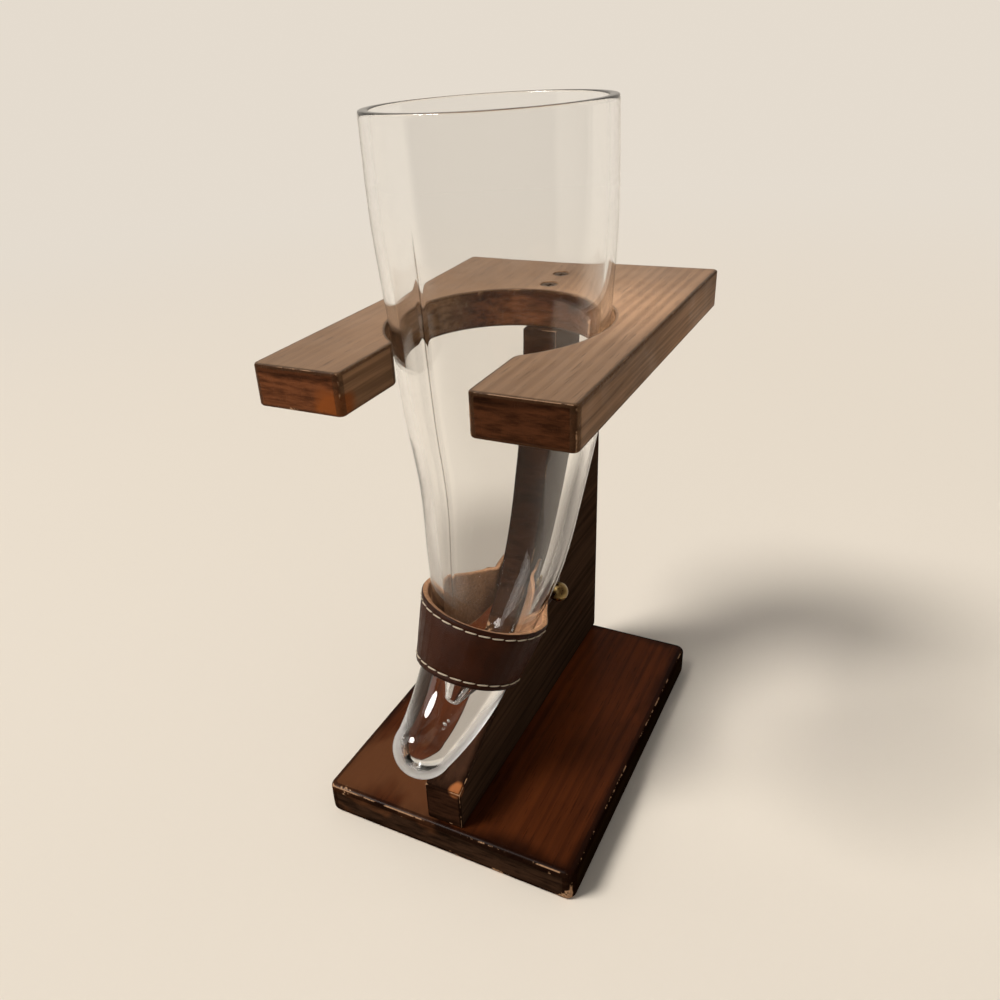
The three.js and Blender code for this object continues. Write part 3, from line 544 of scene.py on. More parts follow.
class HornShape:
    """Centre line and radii of the horn. A station is a distance down the centre line."""

    def __init__(self, sizes):
        self.run = sizes.run
        self.rim_wall = sizes.rim_wall
        self.shoulder_wall = sizes.shoulder_wall
        self.lower_wall = sizes.lower_wall
        self.cavity = sizes.cavity
        self.cavity_tip = sizes.cavity_tip
        self.around = sizes.around
        self.rings = sizes.rings
        self.crease = sizes.crease
        self.taper = [(share * self.run, radius * sizes.mouth_radius) for share, radius in HORN_TAPER]
        self.step = self.run / SPINE_STEPS
        self.spine = [Vector((0, 0, sizes.rim_height))]
        for i in range(SPINE_STEPS):
            angle = self.angle((i + 0.5) * self.step)
            self.spine.append(self.spine[-1] - self.step * Vector((0, sin(angle), cos(angle))))
        self.plate_station = next(i for i, p in enumerate(self.spine) if p.z <= PLATE_HIGH.z) * self.step
        shift = HORN_Y - self.on_spine(self.plate_station).y
        self.shift = Vector((0, shift, 0))
        self.turn = Matrix.Rotation(-HORN_TURN, 3, "Z")
        self.balls = [(self.place(Vector((0, p.y, p.z))), self.radius(i * self.step))
                      for i, p in enumerate(self.spine) if i % SPINE_BALL_STEP == 0]
        self.tip_reach = self.radius(self.run) * TIP_FLATTENING

    def radius(self, station):
        """Outer radius."""
        return cubic_between(self.taper, min(max(station, 0), self.run))

    def angle(self, station):
        """Lean of the centre line from straight down, forwards."""
        share = max(0, station - BEND_START) / (self.run - BEND_START)
        return HORN_LEAN + HORN_BEND * share ** BEND_POWER

    def on_spine(self, station):
        """Point of the centre line before the horn is shifted and turned."""
        place = min(max(station / self.step, 0), SPINE_STEPS)
        i = min(floor(place), SPINE_STEPS - 1)
        return self.spine[i].lerp(self.spine[i + 1], place - i)

    def place(self, point):
        """Turns a point of the upright horn to where the horn stands."""
        pivot = Vector((0, HORN_Y, 0))
        return self.turn @ (point + self.shift - pivot) + pivot

    def point(self, station, distance, direction):
        """Direction 0 is the back or underside, a quarter turn is the right side."""
        tilt = max(0, self.angle(station))
        back = distance * cos(direction)
        side = distance * sin(direction)
        centre = self.on_spine(station)
        return self.place(centre + Vector((side, back * cos(tilt), -back * sin(tilt))))

    def ring(self, station, radius):
        """Ring of points round a station, level or square to the bend."""
        return [self.point(station, radius, 2 * pi * i / self.around) for i in range(self.around)]

    def cap_ring(self, station, radius, angle, reach):
        """Ring of a rounded end beyond a station, at an angle from its widest ring."""
        beyond = self.ahead(station) * reach * sin(angle)
        return [point + beyond for point in self.ring(station, radius * cos(angle))]

    def pole(self, station, reach):
        """Point where a rounded end closes."""
        return self.place(self.on_spine(station)) + self.ahead(station) * reach

    def ahead(self, station):
        """Direction of the centre line."""
        angle = self.angle(station)
        return self.turn @ Vector((0, -sin(angle), -cos(angle)))

    def wall(self, station):
        """Thickness of the glass."""
        share = station / self.cavity
        if share < SHOULDER_SHARE:
            return self.rim_wall + (self.shoulder_wall - self.rim_wall) * share / SHOULDER_SHARE
        rest = (share - SHOULDER_SHARE) / (1 - SHOULDER_SHARE)
        return self.shoulder_wall + (self.lower_wall - self.shoulder_wall) * rest

    def cavity_radius(self, station):
        """Radius of the cavity, which narrows to its rounded end."""
        free = self.radius(station) - self.wall(station)
        if station < CAVITY_TAPER_START:
            return free
        share = (station - CAVITY_TAPER_START) / (self.cavity - CAVITY_TAPER_START)
        return free + (self.cavity_tip - free) * share ** CAVITY_TAPER_POWER

    def crease_marks(self, station):
        """Distance of each point of an inner ring from the fold's crest, and its height there."""
        legs = zip(CREASE_PATH, CREASE_PATH[1:])
        leg = next(((a, b) for a, b in legs if a[0] <= station <= b[0]), None)
        if not leg:
            return [(0.0, 0.0)] * self.around
        (s0, d0, h0), (s1, d1, h1) = leg
        share = (station - s0) / (s1 - s0)
        crest = d0 + (d1 - d0) * share
        height = h0 + (h1 - h0) * share
        marks = []
        for i in range(self.around):
            off = (2 * pi * i / self.around - crest + pi) % (2 * pi) - pi
            marks.append((off * self.cavity_radius(station), height))
        return marks

    def inner_ring(self, station):
        """Ring of the cavity's wall, with the fold that stands in from the front of it."""
        radius = self.cavity_radius(station)
        ring = []
        for i, (off, height) in enumerate(self.crease_marks(station)):
            fold = self.crease * height * exp(-(off / CREASE_HALF_WIDTH) ** 2)
            ring.append(self.point(station, radius - fold, 2 * pi * i / self.around))
        return ring

    def gap(self, point):
        """Distance from a point to the glass."""
        distance, radius = min(((centre - point).length, radius) for centre, radius in self.balls)
        return distance - radius


def catmull_point(points, share):
    """Point of a centripetal Catmull-Rom curve."""
    place = (len(points) - 1) * share
    i = min(int(place), len(points) - 2)
    t = place - i
    p1, p2 = points[i], points[i + 1]
    p0 = points[i - 1] if i > 0 else 2 * points[0] - points[1]
    p3 = points[i + 2] if i + 2 < len(points) else 2 * points[-1] - points[-2]
    d0, d1, d2 = (sqrt((b - a).length) for a, b in ((p0, p1), (p1, p2), (p2, p3)))
    m1 = ((p1 - p0) / d0 - (p2 - p0) / (d0 + d1) + (p2 - p1) / d1) * d1
    m2 = ((p2 - p1) / d1 - (p3 - p1) / (d1 + d2) + (p3 - p2) / d2) * d1
    c2 = -3 * p1 + 3 * p2 - 2 * m1 - m2
    c3 = 2 * p1 - 2 * p2 + m1 + m2
    return p1 + t * m1 + t ** 2 * c2 + t ** 3 * c3


def catmull_tangent(points, share):
    """Direction of the curve, from two points close beside the share."""
    before, after = max(0, share - TANGENT_REACH), min(1, share + TANGENT_REACH)
    return (catmull_point(points, after) - catmull_point(points, before)).normalized()


class StrapShape:
    """Cross-sections of the strap, which hugs the horn between two tilted planes."""

    def __init__(self, horn):
        self.horn = horn
        self.stud = (STUD_LOW + STUD_HIGH) / 2
        self.inner = UPRIGHT_HIGH.x + STUD_FLANGE_END + STUD_GAP
        upper = self.edge(STRAP_TOP_STATION, STRAP_TOP_TILT, STRAP_CLEARANCE + STRAP_TOP_LOOSENESS)
        lower = self.edge(STRAP_BOTTOM_STATION, STRAP_BOTTOM_TILT, STRAP_CLEARANCE)
        leaving = [self.leaving(upper, lower, side) for side in (-1, 1)]
        self.upper = self.edge_points(upper, leaving, self.stud.z + STRAP_END_WIDTH / 2)
        self.lower = self.edge_points(lower, leaving, self.stud.z - STRAP_END_WIDTH / 2)
        self.spans = len(self.upper) - 1

    def edge(self, station, tilt, clearance):
        """Edge of the band: its point on the front of the horn, its plane's tilt and its clearance."""
        front = self.horn.point(station, self.horn.radius(station) + clearance, pi)
        return front, tilt, clearance

    def wrap_point(self, edge, direction):
        """Point of an edge in a direction, found by halving the stations that it lies between."""
        front, tilt, clearance = edge
        above, below = self.horn.plate_station, self.horn.run
        while below - above > STATION_TOLERANCE:
            middle = (above + below) / 2
            point = self.horn.point(middle, self.horn.radius(middle) + clearance, direction)
            plane = front.z + tilt[0] * (point.x - front.x) + tilt[1] * (point.y - front.y)
            if point.z > plane:
                above = middle
            else:
                below = middle
        return self.horn.point(below, self.horn.radius(below) + clearance, direction)

    def leaving(self, upper, lower, side):
        """Direction in which a straight run from the stud just touches the band."""
        start = Vector((side * self.inner, self.stud.y - STRAP_FLAT, 0))
        best, chosen = -1e9, pi
        for turned_by in STRAP_LEAVING_DEGREES:
            direction = pi - side * radians(turned_by)
            point = self.wrap_point(upper, direction).lerp(self.wrap_point(lower, direction), 0.5)
            if start.y > point.y:
                slant = side * (point.x - start.x) / (start.y - point.y)
                if slant > best:
                    best, chosen = slant, direction
        return chosen

    def edge_points(self, edge, leaving, end_z):
        """Points of an edge from the left end, round the horn, to the right end."""
        def ends(side):
            return [Vector((side * self.inner, self.stud.y + y, end_z))
                    for y in (STRAP_TAIL, STRAP_TAIL / 2, 0, -STRAP_FLAT)]

        def direction(i):
            return leaving[0] + (leaving[1] - leaving[0]) * i / (STRAP_SAMPLES - 1)

        wrap = [self.wrap_point(edge, direction(i)) for i in range(STRAP_SAMPLES)]
        return ends(-1) + wrap + ends(1)[::-1]

    def section(self, span):
        """Middle of the inner face, the way up across it and the way out of it."""
        share = span / self.spans
        top = catmull_point(self.upper, share)
        bottom = catmull_point(self.lower, share)
        centre = (top + bottom) / 2
        along = catmull_tangent(self.upper, share) + catmull_tangent(self.lower, share)
        up = top - bottom
        out = along.cross(up).normalized()
        for _ in range(STRAP_GAP_PASSES):
            gaps = [self.horn.gap(centre + up * part) for part in STRAP_GAP_SHARES]
            centre = centre + out * max(0, STRAP_CLEARANCE - min(gaps))
        from_end = self.stud.y + STRAP_TAIL - centre.y
        end_round = STRAP_END_WIDTH / 2
        if from_end < end_round:
            from_round = end_round - max(from_end, STRAP_END_CUT)
            up = up * sqrt(end_round ** 2 - from_round ** 2) / end_round
        return centre, up, out


# Shader helpers


def add(tree, kind, inputs=None, **settings):
    """Adds a node. An input is a value or the socket that feeds it."""
    node = tree.nodes.new(kind)
    for name, value in settings.items():
        setattr(node, name, value)
    for name, value in (inputs or {}).items():
        if isinstance(value, bpy.types.NodeSocket):
            tree.links.new(value, node.inputs[name])
        else:
            node.inputs[name].default_value = value
    return node


def calc(tree, operation, *values, clamp=False):
    """Math node on values or sockets."""
    node = add(tree, "ShaderNodeMath", dict(enumerate(values)), operation=operation, use_clamp=clamp)
    return node.outputs[0]


def vector_calc(tree, operation, first, second):
    """Vector math node on vectors or sockets."""
    node = add(tree, "ShaderNodeVectorMath", {0: first, 1: second}, operation=operation)
    return node.outputs["Value" if operation in ("DISTANCE", "DOT_PRODUCT") else "Vector"]


def split(tree, vector):
    """The X, Y and Z of a vector."""
    return add(tree, "ShaderNodeSeparateXYZ", {0: vector}).outputs


def mix_colour(tree, factor, first, second):
    """Colour between two colours or sockets. The sockets' numbers are those of its RGBA kind."""
    def rgba(value):
        return value if isinstance(value, bpy.types.NodeSocket) else (*value[:3], 1.0)

    node = add(tree, "ShaderNodeMix", {0: factor, 6: rgba(first), 7: rgba(second)}, data_type="RGBA")
    return node.outputs[2]


def shade(colour_here, share):
    """Colour made darker or lighter."""
    return [part * share for part in colour_here]


def ramp(tree, value, low, high, to_low=0.0, to_high=1.0):
    """Smooth step of a value from low to high."""
    node = add(tree, "ShaderNodeMapRange", {
        "Value": value, "From Min": low, "From Max": high, "To Min": to_low, "To Max": to_high,
    }, interpolation_type="SMOOTHSTEP")
    return node.outputs["Result"]


def noise(tree, vector, scale, detail=2.0, roughness=0.5, distortion=0.0):
    """Cloudy pattern from 0 to 1."""
    node = add(tree, "ShaderNodeTexNoise", {
        "Vector": vector, "Scale": scale, "Detail": detail, "Roughness": roughness,
        "Distortion": distortion,
    })
    return node.outputs["Fac"]


def stretched(tree, vector, scale, location=(0.0, 0.0, 0.0)):
    """Place scaled along each axis, which draws a pattern out where the scale is low."""
    node = add(tree, "ShaderNodeMapping", {"Vector": vector, "Scale": scale, "Location": location})
    return node.outputs["Vector"]


def object_place(tree):
    """Place on the piece, in metres."""
    return add(tree, "ShaderNodeTexCoord").outputs["Object"]


def bump(tree, height, distance):
    """Normal of a rough surface whose height reaches a distance."""
    node = add(tree, "ShaderNodeBump", {"Height": height, "Distance": distance, "Strength": 1.0})
    return node.outputs["Normal"]


def attribute(tree, name):
    """Number that a piece's vertices carry."""
    return add(tree, "ShaderNodeAttribute", attribute_name=name).outputs["Fac"]


def new_material(name):
    """Material with a Principled shader. Returns it with its tree and the shader."""
    material = bpy.data.materials.new(name)
    material.use_nodes = True
    tree = material.node_tree
    tree.nodes.clear()
    shader = tree.nodes.new("ShaderNodeBsdfPrincipled")
    out = tree.nodes.new("ShaderNodeOutputMaterial")
    tree.links.new(shader.outputs[0], out.inputs["Surface"])
    return material, tree, shader


def feed(tree, shader, **inputs):
    """Links sockets into, or sets values on, the inputs of a shader or a group."""
    for name, value in inputs.items():
        socket = shader.inputs[name.replace("_", " ")]
        if isinstance(value, bpy.types.NodeSocket):
            tree.links.new(value, socket)
        elif socket.type == "RGBA":
            socket.default_value = (*value[:3], 1.0)
        else:
            socket.default_value = value


def new_group(name, inputs, outputs):
    """Node group with named sockets. Returns it with its inner input and output nodes."""
    group = bpy.data.node_groups.new(name, "ShaderNodeTree")
    for title, kind, default in inputs:
        socket = group.interface.new_socket(title, in_out="INPUT", socket_type=kind)
        if default is not None:
            socket.default_value = default
    for title, kind in outputs:
        group.interface.new_socket(title, in_out="OUTPUT", socket_type=kind)
    return group, group.nodes.new("NodeGroupInput"), group.nodes.new("NodeGroupOutput")


def place_group(tree, group, **inputs):
    """Places a node group in a tree and feeds it."""
    node = tree.nodes.new("ShaderNodeGroup")
    node.node_tree = group
    feed(tree, node, **inputs)
    return node


# Node groups


VECTOR = "NodeSocketVector"
NUMBER = "NodeSocketFloat"
TINT = "NodeSocketColor"


def grain_group():
    """Wood with its grain along Y: fine lines, growth rings, blotches and pores."""
    name = "Wood Grain"
    if name in bpy.data.node_groups:
        return bpy.data.node_groups[name]
    group, start, end = new_group(
        name,
        [("Place", VECTOR, None), ("Line Scale", NUMBER, 520.0), ("Ring Scale", NUMBER, 70.0),
         ("Wander", NUMBER, 5 * MM)],
        [("Lines", NUMBER), ("Rings", NUMBER), ("Blotches", NUMBER), ("Pores", NUMBER)])
    place = start.outputs["Place"]
    wander = noise(group, stretched(group, place, (1.0, 0.3, 1.0)), 22.0, 2.0)
    shift = calc(group, "MULTIPLY", calc(group, "SUBTRACT", wander, 0.5), start.outputs["Wander"])
    sideways = add(group, "ShaderNodeCombineXYZ", {"X": shift}).outputs[0]
    moved = vector_calc(group, "ADD", place, sideways)
    lines = noise(group, stretched(group, moved, (1.0, 0.018, 1.0)), start.outputs["Line Scale"], 3.0, 0.62)
    waves = add(group, "ShaderNodeTexWave", {"Vector": moved, "Scale": start.outputs["Ring Scale"]},
                wave_type="BANDS", bands_direction="X").outputs["Fac"]
    uneven = noise(group, stretched(group, moved, (1.0, 0.05, 0.2), (0.3, 0.1, 0.2)), 130.0, 2.0)
    rings = calc(group, "MULTIPLY_ADD", waves, 0.45, calc(group, "MULTIPLY", uneven, 1.1))
    blotches = noise(group, stretched(group, place, (1.0, 0.45, 1.0)), 34.0, 3.0, 0.55, 0.4)
    dashes = noise(group, stretched(group, moved, (1.0, 0.05, 0.3)), 1900.0, 1.0, 0.4)
    feed(group, end, Lines=ramp(group, lines, 0.32, 0.68), Rings=ramp(group, rings, 0.5, 1.0),
         Blotches=ramp(group, blotches, 0.3, 0.7), Pores=ramp(group, dashes, 0.62, 0.72))
    return group


def wear_group():
    """Uneven wear along the crest of rounded edges, and dents near them."""
    name = "Edge Wear"
    if name in bpy.data.node_groups:
        return bpy.data.node_groups[name]
    group, start, end = new_group(
        name,
        [("Place", VECTOR, None), ("Edge", NUMBER, 0.0), ("Crest", NUMBER, 0.0),
         ("Amount", NUMBER, 0.5), ("Scale", NUMBER, 300.0)],
        [("Worn", NUMBER), ("Dents", NUMBER)])
    take = start.outputs
    chips = noise(group, take["Place"], take["Scale"], 4.0, 0.6)
    runs = noise(group, take["Place"], calc(group, "MULTIPLY", take["Scale"], 0.14), 2.0, 0.5)
    both = calc(group, "ADD", calc(group, "MULTIPLY", chips, 0.32), calc(group, "MULTIPLY", runs, 0.68))
    limit = calc(group, "SUBTRACT", 0.68, calc(group, "MULTIPLY", take["Amount"], 0.3))
    over = calc(group, "SUBTRACT", both, limit)
    line = calc(group, "MULTIPLY", ramp(group, over, -0.01, 0.05), ramp(group, take["Crest"], 0.17, 0.27))
    chipped = ramp(group, over, 0.14, 0.17)
    chipped = calc(group, "MULTIPLY", chipped, ramp(group, take["Edge"], 0.5, 0.9))
    dents = calc(group, "MULTIPLY", ramp(group, chips, 0.42, 0.6), ramp(group, take["Edge"], 0.5, 1.0))
    feed(group, end, Worn=calc(group, "MAXIMUM", line, chipped), Dents=dents)
    return group


def smudge_group():
    """Uneven sheen of handled surfaces."""
    name = "Smudges"
    if name in bpy.data.node_groups:
        return bpy.data.node_groups[name]
    group, start, end = new_group(
        name,
        [("Place", VECTOR, None), ("Scale", NUMBER, 60.0), ("Low", NUMBER, 0.3), ("High", NUMBER, 0.5)],
        [("Roughness", NUMBER)])
    take = start.outputs
    cloud = noise(group, take["Place"], take["Scale"], 4.0, 0.6, 0.3)
    spread = calc(group, "SUBTRACT", take["High"], take["Low"])
    mask = ramp(group, cloud, 0.35, 0.65)
    feed(group, end, Roughness=calc(group, "MULTIPLY_ADD", mask, spread, take["Low"]))
    return group


def board_group():
    """Stained board: colour, roughness and height from a place, the way it faces and its edges."""
    name = "Stained Board"
    if name in bpy.data.node_groups:
        return bpy.data.node_groups[name]
    group, start, end = new_group(
        name,
        [("Place", VECTOR, None), ("Facing", VECTOR, None), ("Edge", NUMBER, 0.0),
         ("Offset", VECTOR, None), ("Low", VECTOR, None), ("High", VECTOR, None),
         ("Face", TINT, None), ("Grain", TINT, None), ("Side", TINT, None), ("End", TINT, None),
         ("Far End", TINT, None), ("Worn", TINT, None), ("Patch", TINT, None),
         ("Patch Place", VECTOR, None), ("Patch Radius", NUMBER, 6 * MM), ("Line Scale", NUMBER, 520.0),
         ("Line Share", NUMBER, 0.4), ("Ring Share", NUMBER, 0.4), ("Burnish", NUMBER, 8 * MM),
         ("Wear", NUMBER, 0.4), ("Sheen", NUMBER, 0.35), ("Back Gain", NUMBER, 1.0)],
        [("Colour", TINT), ("Roughness", NUMBER), ("Height", NUMBER), ("Level", NUMBER)])
    take = start.outputs
    raw = take["Place"]
    place = vector_calc(group, "ADD", raw, take["Offset"])
    figure = place_group(group, grain_group(), Place=place, Line_Scale=take["Line Scale"]).outputs
    lines, rings, blotches, pores = (figure[key] for key in ("Lines", "Rings", "Blotches", "Pores"))
    ragged = calc(group, "SUBTRACT", blotches, 0.5)
    black = (0.0, 0.0, 0.0)

    # Distances from the outline, from the front edge and from the top
    x, y, z = split(group, raw)
    low, high = split(group, take["Low"]), split(group, take["High"])
    spans = ((x, low[0]), (high[0], x), (y, low[1]), (high[1], y))
    sides = [calc(group, "SUBTRACT", a, b) for a, b in spans]
    inside = calc(group, "MINIMUM", calc(group, "MINIMUM", *sides[:2]), calc(group, "MINIMUM", *sides[2:]))
    inside = calc(group, "MULTIPLY_ADD", ragged, take["Burnish"], inside)
    outline = ramp(group, calc(group, "DIVIDE", inside, take["Burnish"]), 0.0, 1.0, 0.85, 0.0)
    front = ramp(group, sides[2], FRONT_WEAR_FULL, FRONT_WEAR_GONE, 1.0, 0.0)
    depth = calc(group, "MULTIPLY_ADD", ragged, END_DARK_RAGGED, calc(group, "SUBTRACT", high[2], z))

    # Top face: grain, pores, the dark outline and a back painted brighter, which is painted light
    ring_share = ramp(group, x, RINGS_FAINT, RINGS_STRONG, RINGS_FAINT_SHARE, 1.0)
    ring_share = calc(group, "MULTIPLY", take["Ring Share"], ring_share)
    dark = calc(group, "MULTIPLY_ADD", calc(group, "SUBTRACT", 1.0, rings), ring_share,
                calc(group, "MULTIPLY", lines, take["Line Share"]))
    dark = calc(group, "MULTIPLY_ADD", ragged, 0.3, dark, clamp=True)
    deep = mix_colour(group, 0.6, take["Grain"], black)
    top = mix_colour(group, dark, take["Face"], take["Grain"])
    top = mix_colour(group, calc(group, "MULTIPLY", pores, 0.4), top, deep)
    top = mix_colour(group, outline, top, deep)
    # Painted light: the top is made brighter towards the back
    painted_back_light = ramp(group, y, BACK_LIGHT_FROM, BACK_LIGHT_UP_TO, 1.0, take["Back Gain"])
    top = add(group, "ShaderNodeVectorMath", {0: top, "Scale": painted_back_light}, operation="SCALE").outputs[0]

    # Sides along the grain
    side = mix_colour(group, calc(group, "MULTIPLY", lines, 0.5), take["Side"], black)
    side = mix_colour(group, calc(group, "MULTIPLY", blotches, 0.25), side, black)

    # Ends across the grain, dark just under the top
    streaks = noise(group, stretched(group, place, (0.22, 1.0, 1.2)), 420.0, 4.0, 0.62)
    cut = mix_colour(group, ramp(group, x, -ENDS_MEET, ENDS_MEET), take["End"], take["Far End"])
    cut = mix_colour(group, ramp(group, streaks, 0.35, 0.7, 0.0, 0.65), cut, black)
    cut = mix_colour(group, ramp(group, depth, END_DARK_FULL, END_DARK_GONE, 0.5, 0.0), cut, black)

    # The face that a place is on, the crest of the edge between two of them, and the patch
    steep = [calc(group, "ABSOLUTE", part) for part in split(group, take["Facing"])]
    to_side = ramp(group, steep[0], 0.45, 0.8)
    to_end = ramp(group, steep[1], 0.45, 0.8)
    crest = calc(group, "SUBTRACT", 1.0, calc(group, "MAXIMUM", steep[0],
                                              calc(group, "MAXIMUM", steep[1], steep[2])))
    shown = mix_colour(group, to_side, top, side)
    shown = mix_colour(group, to_end, shown, cut)
    off = vector_calc(group, "DISTANCE", raw, take["Patch Place"])
    off = calc(group, "ADD", calc(group, "DIVIDE", off, take["Patch Radius"]), ragged)
    shown = mix_colour(group, ramp(group, off, 0.5, 1.1, 0.85, 0.0), shown, take["Patch"])

    # Worn crests and dents, and stain that has pooled along the edges
    edge = take["Edge"]
    wear = place_group(group, wear_group(), Place=place, Edge=edge, Crest=crest, Scale=480.0,
                       Amount=calc(group, "MULTIPLY_ADD", front, 0.2, take["Wear"])).outputs
    shown = mix_colour(group, ramp(group, edge, 0.7, 1.0, 0.0, 0.6), shown, deep)
    shown = mix_colour(group, wear["Worn"], shown, take["Worn"])

    # Level faces, sheen and height
    level = calc(group, "MULTIPLY", calc(group, "SUBTRACT", 1.0, to_side),
                 calc(group, "SUBTRACT", 1.0, to_end))
    sheen = place_group(group, smudge_group(), Place=place, Scale=45.0, Low=take["Sheen"],
                        High=calc(group, "ADD", take["Sheen"], 0.16)).outputs["Roughness"]
    rough = calc(group, "MULTIPLY_ADD", wear["Worn"], 0.25, sheen)
    height = calc(group, "MULTIPLY_ADD", pores, -0.5, calc(group, "MULTIPLY", lines, -0.25))
    height = calc(group, "MULTIPLY_ADD", wear["Dents"], -1.6, height)
    feed(group, end, Colour=shown, Roughness=rough, Height=height, Level=level)
    return group


# Materials


def wood_material(name, gloss, coat, **values):
    """Stained board. The values are those of the board's node group."""
    material, tree, shader = new_material(name)
    facing = add(tree, "ShaderNodeNewGeometry").outputs["Normal"]
    board = place_group(tree, board_group(), Place=object_place(tree), Facing=facing,
                        Edge=attribute(tree, "edge"), **values).outputs
    feed(tree, shader, Base_Color=board["Colour"], Roughness=board["Roughness"],
         Specular_IOR_Level=gloss, Coat_Weight=calc(tree, "MULTIPLY", board["Level"], coat),
         Coat_Roughness=0.3, Normal=bump(tree, board["Height"], 0.12 * MM))
    return material


def plate_wood(colours):
    """Lacquered wood of the top plate, with a redder patch on its left front end."""
    # Its top is painted brighter towards the back, a painted sheen
    return wood_material(
        "plate wood", 0.02, 0.4, Offset=(0.0, 0.0, 0.0), Low=PLATE_LOW, High=PLATE_HIGH,
        Face=colours.plate_face, Grain=colours.plate_grain, Side=(0.31, 0.17, 0.09),
        End=(0.155, 0.053, 0.021), Far_End=(0.072, 0.0245, 0.0095), Worn=colours.worn_wood,
        Patch=(0.22, 0.06, 0.013), Patch_Place=PLATE_PATCH, Patch_Radius=8 * MM,
        Line_Scale=560.0, Line_Share=0.2, Ring_Share=0.4, Burnish=1.2 * MM, Wear=0.42, Sheen=0.3,
        Back_Gain=1.15)


def base_wood(colours):
    """Dark red-brown wood of the base board, with a paler patch at its left front."""
    # Its top is painted brighter towards the back, painted light that reaches in under the plate
    return wood_material(
        "base wood", 0.0, 0.12, Offset=(0.11, 0.07, 0.3), Low=BASE_LOW, High=BASE_HIGH,
        Face=colours.base_face, Grain=colours.base_grain, Side=(0.016, 0.008, 0.0035),
        End=(0.037, 0.0185, 0.0105), Far_End=(0.037, 0.0185, 0.0105), Worn=colours.worn_wood,
        Patch=(0.12, 0.045, 0.018), Patch_Place=BASE_PATCH, Patch_Radius=30 * MM,
        Line_Scale=430.0, Line_Share=0.4, Ring_Share=0.14, Burnish=9 * MM, Wear=0.53, Sheen=0.36,
        Back_Gain=1.8)


def upright_wood(colours):
    """Almost black wood of the upright, with a bare spot at the corner of its toe. Its face colour is
    darkened further as painted shadow of the glass horn.
    """
    return wood_material(
        "upright wood", 0.0, 0.0, Offset=(0.37, 0.2, 0.1), Low=UPRIGHT_LOW, High=UPRIGHT_HIGH,
        # The face colour is the dark wood, darkened further as painted shadow of the glass horn, which
        # casts none
        Face=(0.024, 0.011, 0.006), Grain=(0.013, 0.006, 0.0035), Side=(0.055, 0.03, 0.018),
        End=(0.03, 0.0125, 0.0065), Far_End=(0.03, 0.0125, 0.0065), Worn=colours.worn_wood,
        Patch=(0.26, 0.09, 0.03), Patch_Place=UPRIGHT_PATCH, Patch_Radius=3.4 * MM,
        Line_Scale=430.0, Line_Share=0.5, Ring_Share=0.3, Burnish=3 * MM, Wear=0.4, Sheen=0.38)


def glass_material():
    """Clear hand-made glass that turns milky at the outline of its solid tip."""
    material, tree, shader = new_material("clear glass")
    place = object_place(tree)
    waves = noise(tree, stretched(tree, place, (1.0, 1.0, 0.25)), 55.0, 1.0)
    film = place_group(tree, smudge_group(), Place=place, Scale=70.0, Low=0.0, High=0.03)
    tint = mix_colour(tree, noise(tree, place, 20.0, 1.0), GLASS_CLEAR, GLASS_WARM)
    # Painted shade: a thin dark tint along the crest of the fold
    crest = ramp(tree, calc(tree, "ABSOLUTE", attribute(tree, "off_crest")), 0.0, CREASE_LINE, 1.0, 0.0)
    line = calc(tree, "MULTIPLY", crest, ramp(tree, attribute(tree, "crest_height"), 0.0, 0.6))
    tint = mix_colour(tree, line, tint, CREASE_PAINTED_SHADE)
    low = ramp(tree, split(tree, place)["Z"], MILKY_FULL, MILKY_GONE, 1.0, 0.0)
    glancing = add(tree, "ShaderNodeLayerWeight", {"Blend": 0.5}).outputs["Facing"]
    uneven = calc(tree, "MULTIPLY_ADD", noise(tree, place, 260.0, 2.0), 0.16, glancing)
    milky = calc(tree, "MULTIPLY", ramp(tree, uneven, 0.34, 0.47), low)
    rough = calc(tree, "MULTIPLY_ADD", milky, 0.5, film.outputs["Roughness"])
    feed(tree, shader, Base_Color=tint, Roughness=rough, IOR=1.5, Specular_IOR_Level=0.25,
         Transmission_Weight=1.0, Metallic=0.0, Normal=bump(tree, waves, 0.05 * MM),
         Coat_Weight=milky, Coat_Roughness=0.6, Coat_IOR=2.6)
    return material


def leather_material(colours):
    """Dark grained leather whose cut edges and inner face are raw."""
    material, tree, shader = new_material("strap leather")
    place = object_place(tree)
    raw = attribute(tree, "raw")
    rim = attribute(tree, "rim")
    grain = add(tree, "ShaderNodeTexVoronoi", {"Vector": place, "Scale": 1500.0},
                feature="DISTANCE_TO_EDGE")
    pebble = calc(tree, "MULTIPLY", ramp(tree, grain.outputs["Distance"], 0.0, 0.25),
                  ramp(tree, raw, 0.0, 0.4, 1.0, 0.0))
    cloud = noise(tree, place, 130.0, 4.0, 0.6)
    face = mix_colour(tree, ramp(tree, cloud, 0.3, 0.72), colours.leather, shade(colours.leather, 1.35))
    face = mix_colour(tree, calc(tree, "MULTIPLY", rim, 0.6), face, shade(colours.leather, 0.35))
    fibre = noise(tree, place, 900.0, 4.0, 0.7)
    cut = mix_colour(tree, ramp(tree, fibre, 0.3, 0.7), colours.raw_leather,
                     shade(colours.raw_leather, 0.55))
    mask = ramp(tree, raw, 0.4, 0.6)
    colour_here = mix_colour(tree, mask, face, cut)
    sheen = place_group(tree, smudge_group(), Place=place, Scale=180.0, Low=0.34, High=0.5)
    rough = calc(tree, "MULTIPLY_ADD", mask, 0.4, sheen.outputs["Roughness"])
    height = calc(tree, "MULTIPLY_ADD", cloud, 0.6, calc(tree, "MULTIPLY", pebble, 0.35))
    rough_cut = calc(tree, "MULTIPLY", fibre, ramp(tree, raw, 0.6, 0.9))
    height = calc(tree, "MULTIPLY_ADD", rough_cut, 1.5, height)
    feed(tree, shader, Base_Color=colour_here, Roughness=rough, Specular_IOR_Level=0.1,
         Normal=bump(tree, height, 0.16 * MM))
    return material


